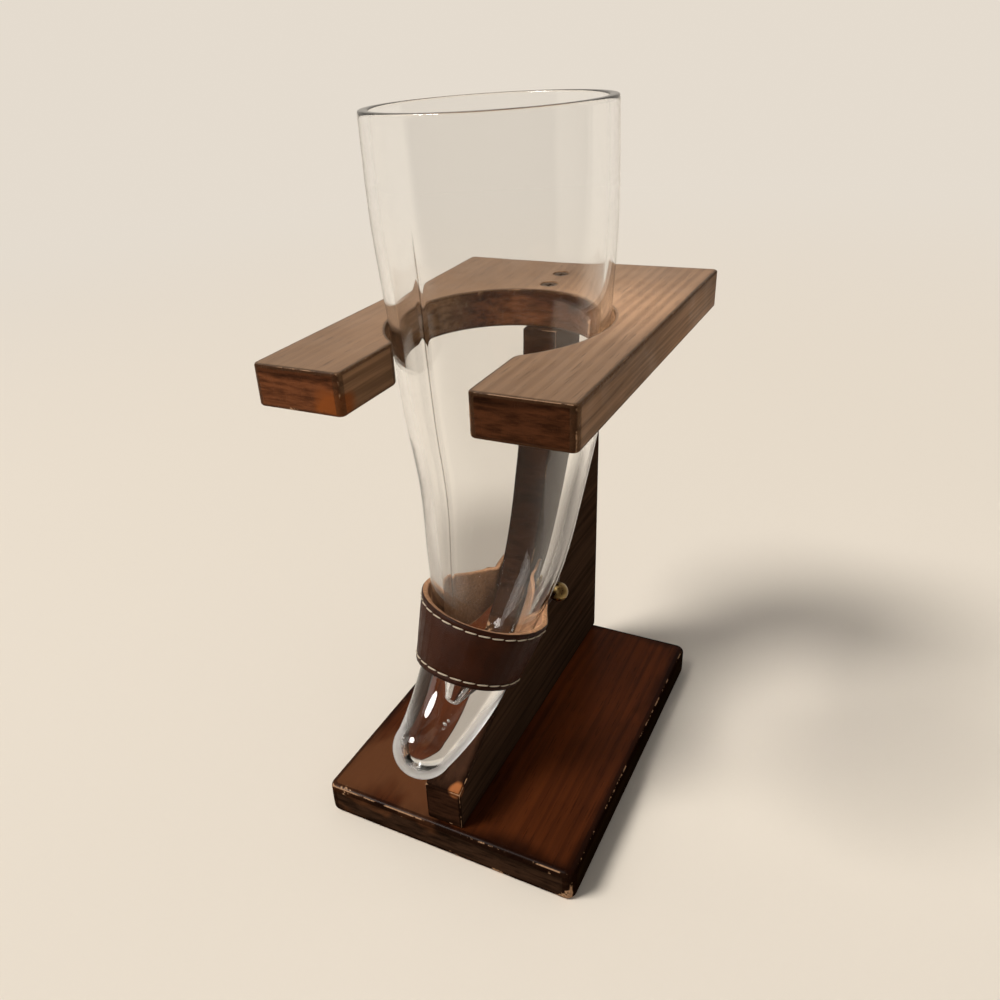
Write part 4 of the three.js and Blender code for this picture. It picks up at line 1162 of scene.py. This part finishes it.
def thread_material(colours):
    """Waxed thread, twisted, soiled in places."""
    material, tree, shader = new_material("waxed thread")
    along = attribute(tree, "along")
    around = attribute(tree, "around")
    turns = calc(tree, "MULTIPLY_ADD", along, THREAD_TWIST, calc(tree, "MULTIPLY", around, THREAD_PLIES))
    twist = calc(tree, "SINE", calc(tree, "MULTIPLY", turns, 2 * pi))
    place = object_place(tree)
    fuzz = noise(tree, place, 2600.0, 3.0, 0.6)
    # Darker where the twist dips: painted shade in the grooves between the plies
    colour_here = mix_colour(tree, ramp(tree, twist, -1.0, 0.2), shade(colours.thread, 0.55),
                             colours.thread)
    soil = noise(tree, place, 220.0, 2.0)
    colour_here = mix_colour(tree, ramp(tree, soil, 0.5, 0.75, 0.0, 0.35), colour_here, THREAD_SOIL)
    height = calc(tree, "MULTIPLY_ADD", fuzz, 0.4, twist)
    feed(tree, shader, Base_Color=colour_here, Roughness=ramp(tree, fuzz, 0.2, 0.8, 0.5, 0.75),
         Normal=bump(tree, height, 0.06 * MM))
    return material


def metal_material(name, base, dark, low, high, tarnish):
    """Scratched metal, darker where it is tarnished. Low and high bound its roughness."""
    material, tree, shader = new_material(name)
    place = object_place(tree)
    cloud = noise(tree, place, 420.0, 4.0, 0.6)
    sheen = place_group(tree, smudge_group(), Place=place, Scale=260.0, Low=low, High=high)
    colour_here = mix_colour(tree, ramp(tree, cloud, 0.45, 0.75, 0.0, tarnish), base, dark)
    scratches = noise(tree, stretched(tree, place, (1.0, 0.06, 1.0)), 5200.0, 2.0)
    feed(tree, shader, Base_Color=colour_here, Metallic=1.0, Roughness=sheen.outputs["Roughness"],
         Normal=bump(tree, calc(tree, "ADD", scratches, cloud), 0.02 * MM))
    return material


def floor_material(colours):
    """Plain floor that passes into the background far from the object."""
    material, tree, shader = new_material("floor")
    place = object_place(tree)
    cloud = noise(tree, place, 3.0, 2.0)
    colour_here = mix_colour(tree, cloud, colours.floor, shade(colours.floor, 0.985))
    distance = vector_calc(tree, "DISTANCE", place, (0.0, 0.0, 0.0))
    path = add(tree, "ShaderNodeLightPath").outputs
    bent = calc(tree, "MAXIMUM", path["Is Glossy Ray"], path["Is Transmission Ray"])
    behind = vector_calc(tree, "DOT_PRODUCT", place, PALE_SIDE)
    front = ramp(tree, behind, FLOOR_DIM_UP_TO, FLOOR_PALE_FROM, 1.0, 0.0)
    # Painted shade round the stand's foot, seen through the glass
    foot_shade = ramp(tree, distance, FOOT_SHADE_NEAR, FOOT_SHADE_FAR, 0.5, 0.0)
    near = calc(tree, "MULTIPLY", foot_shade, path["Is Transmission Ray"])
    mirrored = calc(tree, "MULTIPLY", bent, ramp(tree, path["Glossy Depth"], 0.0, 1.0))
    dim = calc(tree, "MAXIMUM", calc(tree, "MULTIPLY", mirrored, front), near)
    colour_here = mix_colour(tree, dim, colour_here, DIM_ROOM)
    feed(tree, shader, Base_Color=colour_here, Roughness=0.85, Specular_IOR_Level=0.2)
    far = add(tree, "ShaderNodeEmission", {
        "Color": mix_colour(tree, dim, colours.floor, DIM_ROOM), "Strength": 1.0})
    seen = calc(tree, "MAXIMUM", path["Is Camera Ray"], path["Is Transmission Ray"])
    share = calc(tree, "MULTIPLY", ramp(tree, distance, FLOOR_NEAR, FLOOR_FAR), seen)
    blend = add(tree, "ShaderNodeMixShader", {0: share, 1: shader.outputs[0], 2: far.outputs[0]})
    out = next(node for node in tree.nodes if node.bl_idname == "ShaderNodeOutputMaterial")
    tree.links.new(blend.outputs[0], out.inputs["Surface"])
    return material


# Pieces


def screw_cutter(y, z, way, thickness):
    """Countersunk hole through a board, along Z from the face at a height."""
    bm = turned([
        (0, -CUT_OVERRUN),
        (SCREW_HOLE_HEAD, -CUT_OVERRUN),
        (SCREW_HOLE_HEAD, SCREW_HOLE_STRAIGHT),
        (SCREW_HOLE_SHANK, SCREW_HOLE_STRAIGHT + SCREW_HOLE_HEAD - SCREW_HOLE_SHANK),
        (SCREW_HOLE_SHANK, thickness + CUT_OVERRUN),
        (0, thickness + CUT_OVERRUN),
    ], SCREW_HOLE_SIDES)
    move = Matrix.Translation((0, y, z))
    if way < 0:
        move = move @ Matrix.Rotation(pi, 4, "X")
    bmesh.ops.transform(bm, matrix=move, verts=bm.verts)
    return bm


def screw_places(start):
    """Places along Y of the CAD's screws whose names start so."""
    return [sum((Vector(corner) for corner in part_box(name)), Vector()).y / 2
            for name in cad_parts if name.startswith(start)]


def base_board(sizes, material):
    """Board with rounded corners and edges, drilled from below."""
    bm = board_mesh()
    bmesh.ops.create_cube(bm, size=1)
    size, middle = BASE_HIGH - BASE_LOW, (BASE_HIGH + BASE_LOW) / 2
    fit = Matrix.Translation(middle) @ Matrix.Diagonal((*size, 1))
    bmesh.ops.transform(bm, matrix=fit, verts=bm.verts)
    bevel(bm, standing_edges(bm), sizes.base_corner, BASE_CORNER_STEPS)
    outlines = level_edges(bm, BASE_HIGH.z) + level_edges(bm, BASE_LOW.z)
    bevel(bm, outlines, sizes.base_edge, BASE_EDGE_STEPS)
    mark_edges(bm, EDGE_INSET * (sizes.base_corner - sizes.base_edge))
    bm = cut_out(bm, [screw_cutter(y, BASE_LOW.z, 1, size.z) for y in screw_places("base_screw")])
    return finish_piece("base_plank", bm, "stand", [material], ["base_board"], True)


def plate_slot_half(horn, hole):
    """Half width of the slot that the horn's lower part passes through."""
    start = HOLE_Y - SLOT_START_SHARE * hole
    return max(abs(c.x) + r for c, r in horn.balls if c.y < start) + SLOT_CLEARANCE


def top_plate(sizes, horn, material):
    """Plate with a round hole that narrows into a slot at the front."""
    hole = horn.radius(horn.plate_station) + HOLE_CLEARANCE
    slot = plate_slot_half(horn, hole)
    flare = hole + FLARE_SHIFT
    flare_turn = acos((slot + FLARE_SHIFT) / flare)
    corner_y = HOLE_Y - flare * sin(flare_turn)
    z = PLATE_LOW.z
    thickness = PLATE_HIGH.z - z
    bm = board_mesh()
    first = bm.verts.new((slot, PLATE_LOW.y, z))
    vert = run_to(bm, first, (slot, corner_y, z))
    vert = run_arc(bm, vert, (-FLARE_SHIFT, HOLE_Y, z), flare_turn, FLARE_STEPS)
    vert = run_arc(bm, vert, (0, HOLE_Y, z), pi, HOLE_STEPS)
    vert = run_arc(bm, vert, (FLARE_SHIFT, HOLE_Y, z), flare_turn, FLARE_STEPS)
    for place in ((-slot, PLATE_LOW.y), (PLATE_LOW.x, PLATE_LOW.y), (PLATE_LOW.x, PLATE_HIGH.y),
                  (PLATE_HIGH.x, PLATE_HIGH.y), (PLATE_HIGH.x, PLATE_LOW.y)):
        vert = run_to(bm, vert, (*place, z))
    bm.edges.new((vert, first))
    thicken(bm, thickness)
    bevel(bm, standing_edges(bm), sizes.plate_corner, PLATE_STEPS)
    bevel(bm, level_edges(bm, PLATE_HIGH.z) + level_edges(bm, z), sizes.plate_edge, PLATE_STEPS)
    mark_edges(bm, EDGE_INSET * (sizes.plate_corner - sizes.plate_edge))
    bm = cut_out(bm, [screw_cutter(y, PLATE_HIGH.z, -1, thickness) for y in screw_places("plate_screw")])
    return finish_piece("top_plank", bm, "stand", [material], ["top_plate"], True)


def merged_copy(node):
    """Merged copy of a CAD node's loose triangles, with its flat faces joined up."""
    bm = board_mesh()
    bm.from_mesh(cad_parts[node].data)
    bmesh.ops.remove_doubles(bm, verts=bm.verts, dist=CAD_MERGE)
    bmesh.ops.dissolve_limit(bm, angle_limit=FLAT_ANGLE, verts=bm.verts, edges=bm.edges)
    return bm


def upright_board(sizes, material):
    """Upright that carries the plate and whose front edge follows the horn."""
    bm = merged_copy("upright")
    stud = (STUD_LOW + STUD_HIGH) / 2

    def on_outline(edge):
        ends = [v.co for v in edge.verts]
        at_side = any(sum(abs(end.x - x) for end in ends) < PLACE_TOLERANCE
                      for x in (UPRIGHT_LOW.x, UPRIGHT_HIGH.x))
        at_stud = all((end.yz - stud.yz).length < STUD_HOLE_REACH for end in ends)
        across = abs(ends[0].x - ends[1].x) > UPRIGHT_HIGH.x
        return (at_side and not at_stud) or across

    bevel(bm, [e for e in bm.edges if on_outline(e) and e.calc_face_angle() > SHARP],
          sizes.upright_edge, UPRIGHT_STEPS)
    mark_edges(bm, sizes.upright_edge)
    return finish_piece("upright_plank", bm, "stand", [material], ["upright"], True)


def outer_loops(horn):
    """Rings round the outside of the glass, from its rounded tip up to the rim."""
    tip_radius = horn.radius(horn.run)
    loops = []
    for i in range(1, CAP_STEPS + 1):
        angle = pi / 2 * (1 - i / (CAP_STEPS + 1))
        loops.append(horn.cap_ring(horn.run, tip_radius, angle, horn.tip_reach))
    for i in range(horn.rings + 1):
        station = horn.run + (horn.rim_wall / 2 - horn.run) * i / horn.rings
        loops.append(horn.ring(station, horn.radius(station)))
    return loops


def rim_loops(horn):
    """Rings over the rim, from the outside to the inside."""
    half = horn.rim_wall / 2
    loops = []
    for i in range(1, RIM_STEPS):
        angle = pi * i / RIM_STEPS
        up = sin(angle) ** RIM_SQUARENESS
        across = abs(cos(angle)) ** RIM_SQUARENESS
        inwards = 1 - across if i < RIM_STEPS / 2 else 1 + across
        loops.append(horn.ring(half * (1 - up), horn.radius(0) - half * inwards))
    return loops


def cavity_loops(horn):
    """Rings down the cavity and round its end, each with the fold's marks where it has them."""
    half = horn.rim_wall / 2
    count = round(horn.rings * INNER_RING_SHARE)
    loops = []
    for i in range(count + 1):
        station = half + (horn.cavity - half) * i / count
        loops.append((horn.inner_ring(station), horn.crease_marks(station)))
    for i in range(1, CAP_STEPS):
        ring = horn.cap_ring(horn.cavity, horn.cavity_tip, pi / 2 * i / CAP_STEPS, horn.cavity_tip)
        loops.append((ring, []))
    return loops


def glass_horn(horn, material):
    """Hollow horn with a rounded rim, a rounded tip, a cavity with a rounded end, and bubbles."""
    outside = outer_loops(horn) + rim_loops(horn)
    bm = bmesh.new()
    off_crest = bm.verts.layers.float.new("off_crest")
    crest_height = bm.verts.layers.float.new("crest_height")
    first = bmesh.ops.create_circle(bm, segments=horn.around, radius=1)["verts"]
    place_ring(first, outside[0])
    ring = first
    for places in outside[1:]:
        ring = next_ring(bm, ring)
        place_ring(ring, places)
    for places, marks in cavity_loops(horn):
        ring = next_ring(bm, ring)
        place_ring(ring, places)
        for vert, (off, height) in zip(ring, marks):
            vert[off_crest] = off
            vert[crest_height] = height if abs(off) < CREASE_REACH else 0.0
    close_to_point(bm, ring, horn.pole(horn.cavity, horn.cavity_tip))
    close_to_point(bm, first, horn.pole(horn.run, horn.tip_reach))
    bmesh.ops.recalc_face_normals(bm, faces=bm.faces)
    for share, distance, direction, radius in BUBBLES:
        spot = Matrix.Translation(horn.point(share * horn.run, distance, direction))
        bubble = bmesh.ops.create_icosphere(bm, subdivisions=3, radius=radius, matrix=spot)["verts"]
        bmesh.ops.reverse_faces(bm, faces=list({face for vert in bubble for face in vert.link_faces}))
    piece = finish_piece("horn_glass", bm, "horn", [material], ["glass_horn"])
    piece.visible_shadow = False
    return piece


def strap_profile(sizes):
    """Outline of the strap's cross-section: share across, height out, cut edge and rim marks."""
    thick, width = sizes.thickness, sizes.width
    soft = STRAP_SOFT_EDGE
    row = 0.5 - sizes.stitch_inset / width
    shoulder = 0.5 - soft / width
    beside = 0.5 - STRAP_DARK_EDGE / width

    def groove(middle):
        return [(middle + part * STRAP_GROOVE / width, thick - depth * STRAP_GROOVE_DEPTH, 0, dark)
                for part, depth, dark in STRAP_GROOVE_SECTION]

    crown = [(share, thick + rise, 0, 0) for share, rise in STRAP_CROWN]
    lower_edge = [(-0.5, thick - soft, 0.5, 1), (-0.5, thick - STRAP_CUT_START, 1, 0),
                  (-0.5, soft, 1, 0), (-shoulder, 0, 1, 0)]
    return [
        (shoulder, thick, 0, 1),
        (beside, thick + STRAP_EDGE_RISE, 0, 0.6),
        *groove(row),
        *crown,
        *groove(-row),
        (-beside, thick + STRAP_EDGE_RISE, 0, 0.6),
        (-shoulder, thick, 0, 1),
        *lower_edge,
        *((share, 0, 0.5, 0) for share in STRAP_INNER_SHARES),
        *((-across, *rest) for across, *rest in reversed(lower_edge)),
    ]


def leather_strap(sizes, strap, material):
    """Band whose cross-section is swept from stud to stud round the front of the horn."""
    run = strap.spans - 2 * STRAP_END_SPANS
    middle = [STRAP_END_SPANS + run * i / STRAP_STEPS for i in range(STRAP_STEPS + 1)]
    spans = [*STRAP_TAIL_SPANS, *middle, *(strap.spans - span for span in reversed(STRAP_TAIL_SPANS))]
    profile = strap_profile(sizes)
    bm = bmesh.new()
    raw = bm.verts.layers.float.new("raw")
    rim = bm.verts.layers.float.new("rim")
    first = bmesh.ops.create_circle(bm, segments=len(profile), radius=1)["verts"]
    ring = None
    for span in spans:
        ring = first if ring is None else next_ring(bm, ring)
        centre, up, out = strap.section(span)
        place_ring(ring, [centre + up * across + out * height for across, height, _, _ in profile])
        for vert, (_, _, cut, dark) in zip(ring, profile):
            vert[raw] = cut
            vert[rim] = dark
    close_ends(bm, first, ring)
    bmesh.ops.recalc_face_normals(bm, faces=bm.faces)
    bm = cut_out(bm, [keyhole_cutter(sizes, strap, side) for side in (1, -1)])
    return finish_piece("strap_band", bm, "stand", [material], ["leather_strap"])


def keyhole_cutter(sizes, strap, side):
    """Round hole for a stud's neck with a slit behind it."""
    turn = asin(KEYHOLE_SLIT_HALF / KEYHOLE_RADIUS)
    slit_end = KEYHOLE_RADIUS + KEYHOLE_SLIT
    depth = 3 * sizes.thickness
    bm = bmesh.new()
    first = bm.verts.new((KEYHOLE_RADIUS * cos(turn), KEYHOLE_RADIUS * sin(turn), 0))
    vert = run_arc(bm, first, (0, 0, 0), 2 * pi - 2 * turn, KEYHOLE_SIDES)
    vert = run_to(bm, vert, (slit_end, -KEYHOLE_SLIT_HALF, 0))
    vert = run_to(bm, vert, (slit_end, KEYHOLE_SLIT_HALF, 0))
    bm.edges.new((vert, first))
    thicken(bm, depth)
    # The slit's way becomes Y and the thickness X
    upright = Matrix(((0, 0, 1, 0), (1, 0, 0, 0), (0, 1, 0, 0), (0, 0, 0, 1)))
    x = side * (strap.inner + sizes.thickness / 2) - depth / 2
    move = Matrix.Translation((x, strap.stud.y, strap.stud.z)) @ upright
    bmesh.ops.transform(bm, matrix=move, verts=bm.verts)
    return bm


def stitch_line(strap, row):
    """Sections of the strap along a row of stitches, and the distance travelled to each."""
    run = strap.spans - 2 * STITCH_START_SPANS
    line = [strap.section(STITCH_START_SPANS + run * i / STITCH_ROW_SAMPLES)
            for i in range(STITCH_ROW_SAMPLES + 1)]
    travel = [0.0]
    for (c0, u0, _), (c1, u1, _) in zip(line, line[1:]):
        travel.append(travel[-1] + ((c1 + u1 * row) - (c0 + u0 * row)).length)
    return line, travel


def section_at(line, travel, distance):
    """Section of the strap at a distance travelled along a row."""
    i = max(next(k for k, t in enumerate(travel) if t >= distance), 1)
    part = (distance - travel[i - 1]) / (travel[i] - travel[i - 1])
    return [a.lerp(b, part) for a, b in zip(line[i - 1], line[i])]


def stitch_row(name, node, sizes, strap, side, material):
    """One row of stitches: each runs over the leather and dives into it at both ends."""
    row = side * (0.5 - sizes.stitch_inset / sizes.width)
    line, travel = stitch_line(strap, row)
    free = travel[-1] - 2 * sizes.stitch_gap
    count = floor(free / sizes.stitch_pitch)
    pitch = free / count
    reach = pitch - sizes.stitch_gap * STITCH_GAP_SHARE
    radius = sizes.thread / 2
    bm = bmesh.new()
    along = bm.verts.layers.float.new("along")
    turn = bm.verts.layers.float.new("around")
    for stitch in range(count):
        begin = sizes.stitch_gap + stitch * pitch
        start = bmesh.ops.create_circle(bm, segments=STITCH_SIDES, radius=1)["verts"]
        ring = start
        for step in range(STITCH_STEPS + 1):
            if step > 0:
                ring = next_ring(bm, ring)
            share = step / STITCH_STEPS
            rise = sqrt(max(0.0, 1 - abs(2 * share - 1) ** STITCH_SWELL_POWER))
            height = sizes.thickness - STITCH_SUNK * radius + (radius * STITCH_RISE) * rise
            distance = begin + reach * share
            centre, up, out = section_at(line, travel, distance)
            thick = radius * (STITCH_END_WIDTH + STITCH_SWELL_WIDTH * rise)
            across = up.normalized()
            middle = centre + up * row + across * (share - 0.5) * STITCH_LEAN + out * height
            for k, vert in enumerate(ring):
                angle = 2 * pi * k / STITCH_SIDES
                sideways = across * sin(angle) * STITCH_WIDE
                vert.co = middle + (sideways - out * cos(angle) * STITCH_FLAT) * thick
                vert[along] = distance
                vert[turn] = k / STITCH_SIDES
        close_ends(bm, start, ring)
    bmesh.ops.recalc_face_normals(bm, faces=bm.faces)
    return finish_piece(name, bm, "stand", [material], [node])


def ball_stud(name, node, sizes, side, material):
    """Stud with a shank in the wood, a flange, a neck through the strap and a ball."""
    wood = UPRIGHT_HIGH.x
    middle = (STUD_LOW + STUD_HIGH) / 2
    ball = sizes.ball
    centre = STUD_HIGH.x - ball - wood
    start = asin(STUD_NECK / ball)
    profile = [
        (0, STUD_POINT),
        (STUD_SHANK, STUD_SHANK_END),
        (STUD_SHANK, STUD_GAP),
        (STUD_FLANGE_FACE, STUD_GAP),
        (STUD_FLANGE, STUD_GAP + STUD_FLANGE_BEVEL),
        (STUD_FLANGE, STUD_FLANGE_END - STUD_FLANGE_ROUND),
        (STUD_FLANGE_FACE, STUD_FLANGE_END),
        (STUD_NECK_ROOT, STUD_FLANGE_END),
        (STUD_NECK, STUD_FLANGE_END + STUD_NECK_ROOT_END),
    ]
    for i in range(STUD_BALL_STEPS):
        angle = start + (pi - start) * i / STUD_BALL_STEPS
        profile.append((ball * sin(angle), centre - ball * cos(angle)))
    bm = turned([*profile, (0, centre + ball)], STUD_SIDES)
    aim = Matrix.Rotation(pi / 2 * side, 4, "Y")
    move = Matrix.Translation((side * wood, middle.y, middle.z)) @ aim
    bmesh.ops.transform(bm, matrix=move, verts=bm.verts)
    return finish_piece(name, bm, "stand", [material], [node])


# Operators


def scene_props():
    """Sizes of the horn, the stand and the strap, and the colours."""
    scene = bpy.context.scene
    return scene.horn_sizes, scene.stand_sizes, scene.strap_sizes, scene.horn_finishes


class BuildStand(bpy.types.Operator):
    """Build the base board, the upright and the top plate"""
    bl_idname = "drinking_horn.stand"
    bl_label = "Wooden Stand"

    def execute(self, context):
        horn, stand, _, colours = scene_props()
        plate = plate_wood(colours)
        base_board(stand, base_wood(colours))
        upright_board(stand, upright_wood(colours))
        top_plate(stand, HornShape(horn), plate)
        return {"FINISHED"}


class BuildHorn(bpy.types.Operator):
    """Build the glass horn"""
    bl_idname = "drinking_horn.horn"
    bl_label = "Glass Horn"

    def execute(self, context):
        glass_horn(HornShape(scene_props()[0]), glass_material())
        return {"FINISHED"}


class BuildStrap(bpy.types.Operator):
    """Build the leather strap and its two rows of stitches"""
    bl_idname = "drinking_horn.strap"
    bl_label = "Leather Strap"

    def execute(self, context):
        horn, _, sizes, colours = scene_props()
        shape = StrapShape(HornShape(horn))
        leather_strap(sizes, shape, leather_material(colours))
        thread = thread_material(colours)
        stitch_row("stitch_row_upper", "strap_stitching_upper", sizes, shape, 1, thread)
        stitch_row("stitch_row_lower", "strap_stitching_lower", sizes, shape, -1, thread)
        return {"FINISHED"}


class BuildFixings(bpy.types.Operator):
    """Build the brass studs and give the screws their finish"""
    bl_idname = "drinking_horn.fixings"
    bl_label = "Studs and Screws"

    def execute(self, context):
        _, _, sizes, colours = scene_props()
        # The dark brass and its heavy tarnish are partly painted shade of the horn and strap over the studs
        brass = metal_material("stud brass", colours.brass, BRASS_TARNISH,
                               low=0.22, high=0.4, tarnish=0.6)
        ball_stud("ball_stud_right", "stud_right", sizes, 1, brass)
        ball_stud("ball_stud_left", "stud_left", sizes, -1, brass)
        dark = metal_material("dark screw steel", DARK_STEEL, DARK_STEEL_TARNISH,
                              low=0.4, high=0.6, tarnish=0.8)
        plain = metal_material("plain screw steel", PLAIN_STEEL, PLAIN_STEEL_TARNISH,
                               low=0.28, high=0.45, tarnish=0.5)
        for name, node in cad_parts.items():
            if "_screw_" in name:
                node.data.materials.clear()
                node.data.materials.append(dark if name.startswith("plate") else plain)
        return {"FINISHED"}


class BuildStage(bpy.types.Operator):
    """Set up the floor, the light and the camera"""
    bl_idname = "drinking_horn.stage"
    bl_label = "Stage"

    def execute(self, context):
        colours = scene_props()[3]
        stage_floor(floor_material(colours))
        studio_world(colours)
        studio_lamps()
        place_camera()
        context.scene.view_settings.view_transform = "Standard"
        return {"FINISHED"}


# Stage


def stage_floor(material):
    """Round floor, wide enough to reach the horizon."""
    bm = bmesh.new()
    bmesh.ops.create_circle(bm, cap_ends=True, segments=FLOOR_SIDES, radius=FLOOR_RADIUS)
    mesh = bpy.data.meshes.new("floor")
    bm.to_mesh(mesh)
    bm.free()
    mesh.materials.append(material)
    piece = bpy.data.objects.new("floor", mesh)
    bpy.context.scene.collection.objects.link(piece)


def studio_world(colours):
    """Soft light from all round, a little darker overhead, and a plain pale background."""
    world = bpy.data.worlds.new("studio")
    bpy.context.scene.world = world
    world.use_nodes = True
    tree = world.node_tree
    tree.nodes.clear()
    direction = add(tree, "ShaderNodeTexCoord").outputs["Generated"]
    height = split(tree, direction)["Z"]
    behind = vector_calc(tree, "DOT_PRODUCT", direction, PALE_SIDE)
    light = mix_colour(tree, ramp(tree, height, 0.1, 0.75), HORIZON_LIGHT, OVERHEAD_LIGHT)
    facing = ramp(tree, behind, -0.1, 0.5)
    mirrored = mix_colour(tree, facing, DIM_ROOM, shade(colours.floor, MIRRORED_SHARE))
    path = add(tree, "ShaderNodeLightPath").outputs
    seen = mix_colour(tree, ramp(tree, path["Glossy Depth"], 0.0, 1.0), colours.floor, mirrored)
    bent = calc(tree, "MAXIMUM", path["Is Glossy Ray"], path["Is Transmission Ray"])
    shown = mix_colour(tree, bent, light, seen)
    shown = mix_colour(tree, path["Is Camera Ray"], shown, colours.floor)
    back = add(tree, "ShaderNodeBackground", {"Color": shown, "Strength": 1.0})
    add(tree, "ShaderNodeOutputWorld", {"Surface": back.outputs[0]})


def add_lamp(name, kind, power, tint, ray):
    """Adds a lamp that shines along a ray. Returns its data and its object."""
    lamp = bpy.data.lights.new(name, kind)
    lamp.energy = power
    lamp.color = tint
    item = bpy.data.objects.new(name, lamp)
    item.rotation_euler = ray.to_track_quat("-Z", "Y").to_euler()
    bpy.context.scene.collection.objects.link(item)
    return lamp, item


def studio_lamps():
    """Soft key light from the left front, and a window that the glass mirrors."""
    sun, _ = add_lamp("key", "SUN", KEY_STRENGTH, KEY_TINT, -Vector(KEY_FROM))
    sun.angle = KEY_SPREAD
    ray = Vector(WINDOW_AIM) - Vector(WINDOW_PLACE)
    window, item = add_lamp("window", "AREA", WINDOW_POWER, WINDOW_TINT, ray)
    window.shape = "RECTANGLE"
    window.size, window.size_y = WINDOW_SIZE
    item.location = WINDOW_PLACE


def place_camera():
    """Camera where the photograph was taken from, with the photograph's field of view."""
    camera = bpy.data.cameras.new("camera")
    camera.sensor_width = SENSOR
    camera.lens = FOCAL_PIXELS / PICTURE * SENSOR
    camera.shift_x = 0.5 - PRINCIPAL_X / PICTURE
    camera.shift_y = PRINCIPAL_Y / PICTURE - 0.5
    camera.clip_start = CLIP_START
    camera.clip_end = CLIP_END
    item = bpy.data.objects.new("camera", camera)
    ahead = Vector((-sin(CAMERA_AZIMUTH) * cos(CAMERA_DOWN), cos(CAMERA_AZIMUTH) * cos(CAMERA_DOWN),
                    -sin(CAMERA_DOWN)))
    level = ahead.cross(Vector((0, 0, 1))).normalized()
    upward = level.cross(ahead)
    right = cos(CAMERA_ROLL) * level + sin(CAMERA_ROLL) * upward
    up = cos(CAMERA_ROLL) * upward - sin(CAMERA_ROLL) * level
    basis = Matrix((right, up, -ahead)).transposed().to_4x4()
    item.matrix_world = Matrix.Translation(CAMERA_PLACE) @ basis
    bpy.context.scene.collection.objects.link(item)
    bpy.context.scene.camera = item


# Panel and registration


class HornPanel(bpy.types.Panel):
    """Buttons for every piece and the stage, and their sizes and colours"""
    bl_idname = "VIEW3D_PT_drinking_horn"
    bl_label = "Drinking Horn"
    bl_space_type = "VIEW_3D"
    bl_region_type = "UI"
    bl_category = "Horn"

    def draw(self, context):
        for operator in OPERATORS:
            self.layout.operator(operator.bl_idname)
        for group in (context.scene.horn_sizes, context.scene.stand_sizes, context.scene.strap_sizes,
                      context.scene.horn_finishes):
            box = self.layout.box()
            for name in group.__annotations__:
                box.prop(group, name)


OPERATORS = (BuildStand, BuildHorn, BuildStrap, BuildFixings, BuildStage)
CLASSES = (HornSizes, StandSizes, StrapSizes, Finishes, *OPERATORS, HornPanel)


def register():
    for cls in CLASSES:
        bpy.utils.register_class(cls)
    bpy.types.Scene.horn_sizes = PointerProperty(type=HornSizes)
    bpy.types.Scene.stand_sizes = PointerProperty(type=StandSizes)
    bpy.types.Scene.strap_sizes = PointerProperty(type=StrapSizes)
    bpy.types.Scene.horn_finishes = PointerProperty(type=Finishes)


def unregister():
    for name in ("horn_sizes", "stand_sizes", "strap_sizes", "horn_finishes"):
        delattr(bpy.types.Scene, name)
    for cls in reversed(CLASSES):
        bpy.utils.unregister_class(cls)


def main():
    """Builds the pieces and the stage."""
    register()
    bpy.ops.drinking_horn.stand()
    bpy.ops.drinking_horn.horn()
    bpy.ops.drinking_horn.strap()
    bpy.ops.drinking_horn.fixings()
    bpy.ops.drinking_horn.stage()


if __name__ == "__main__":
    main()
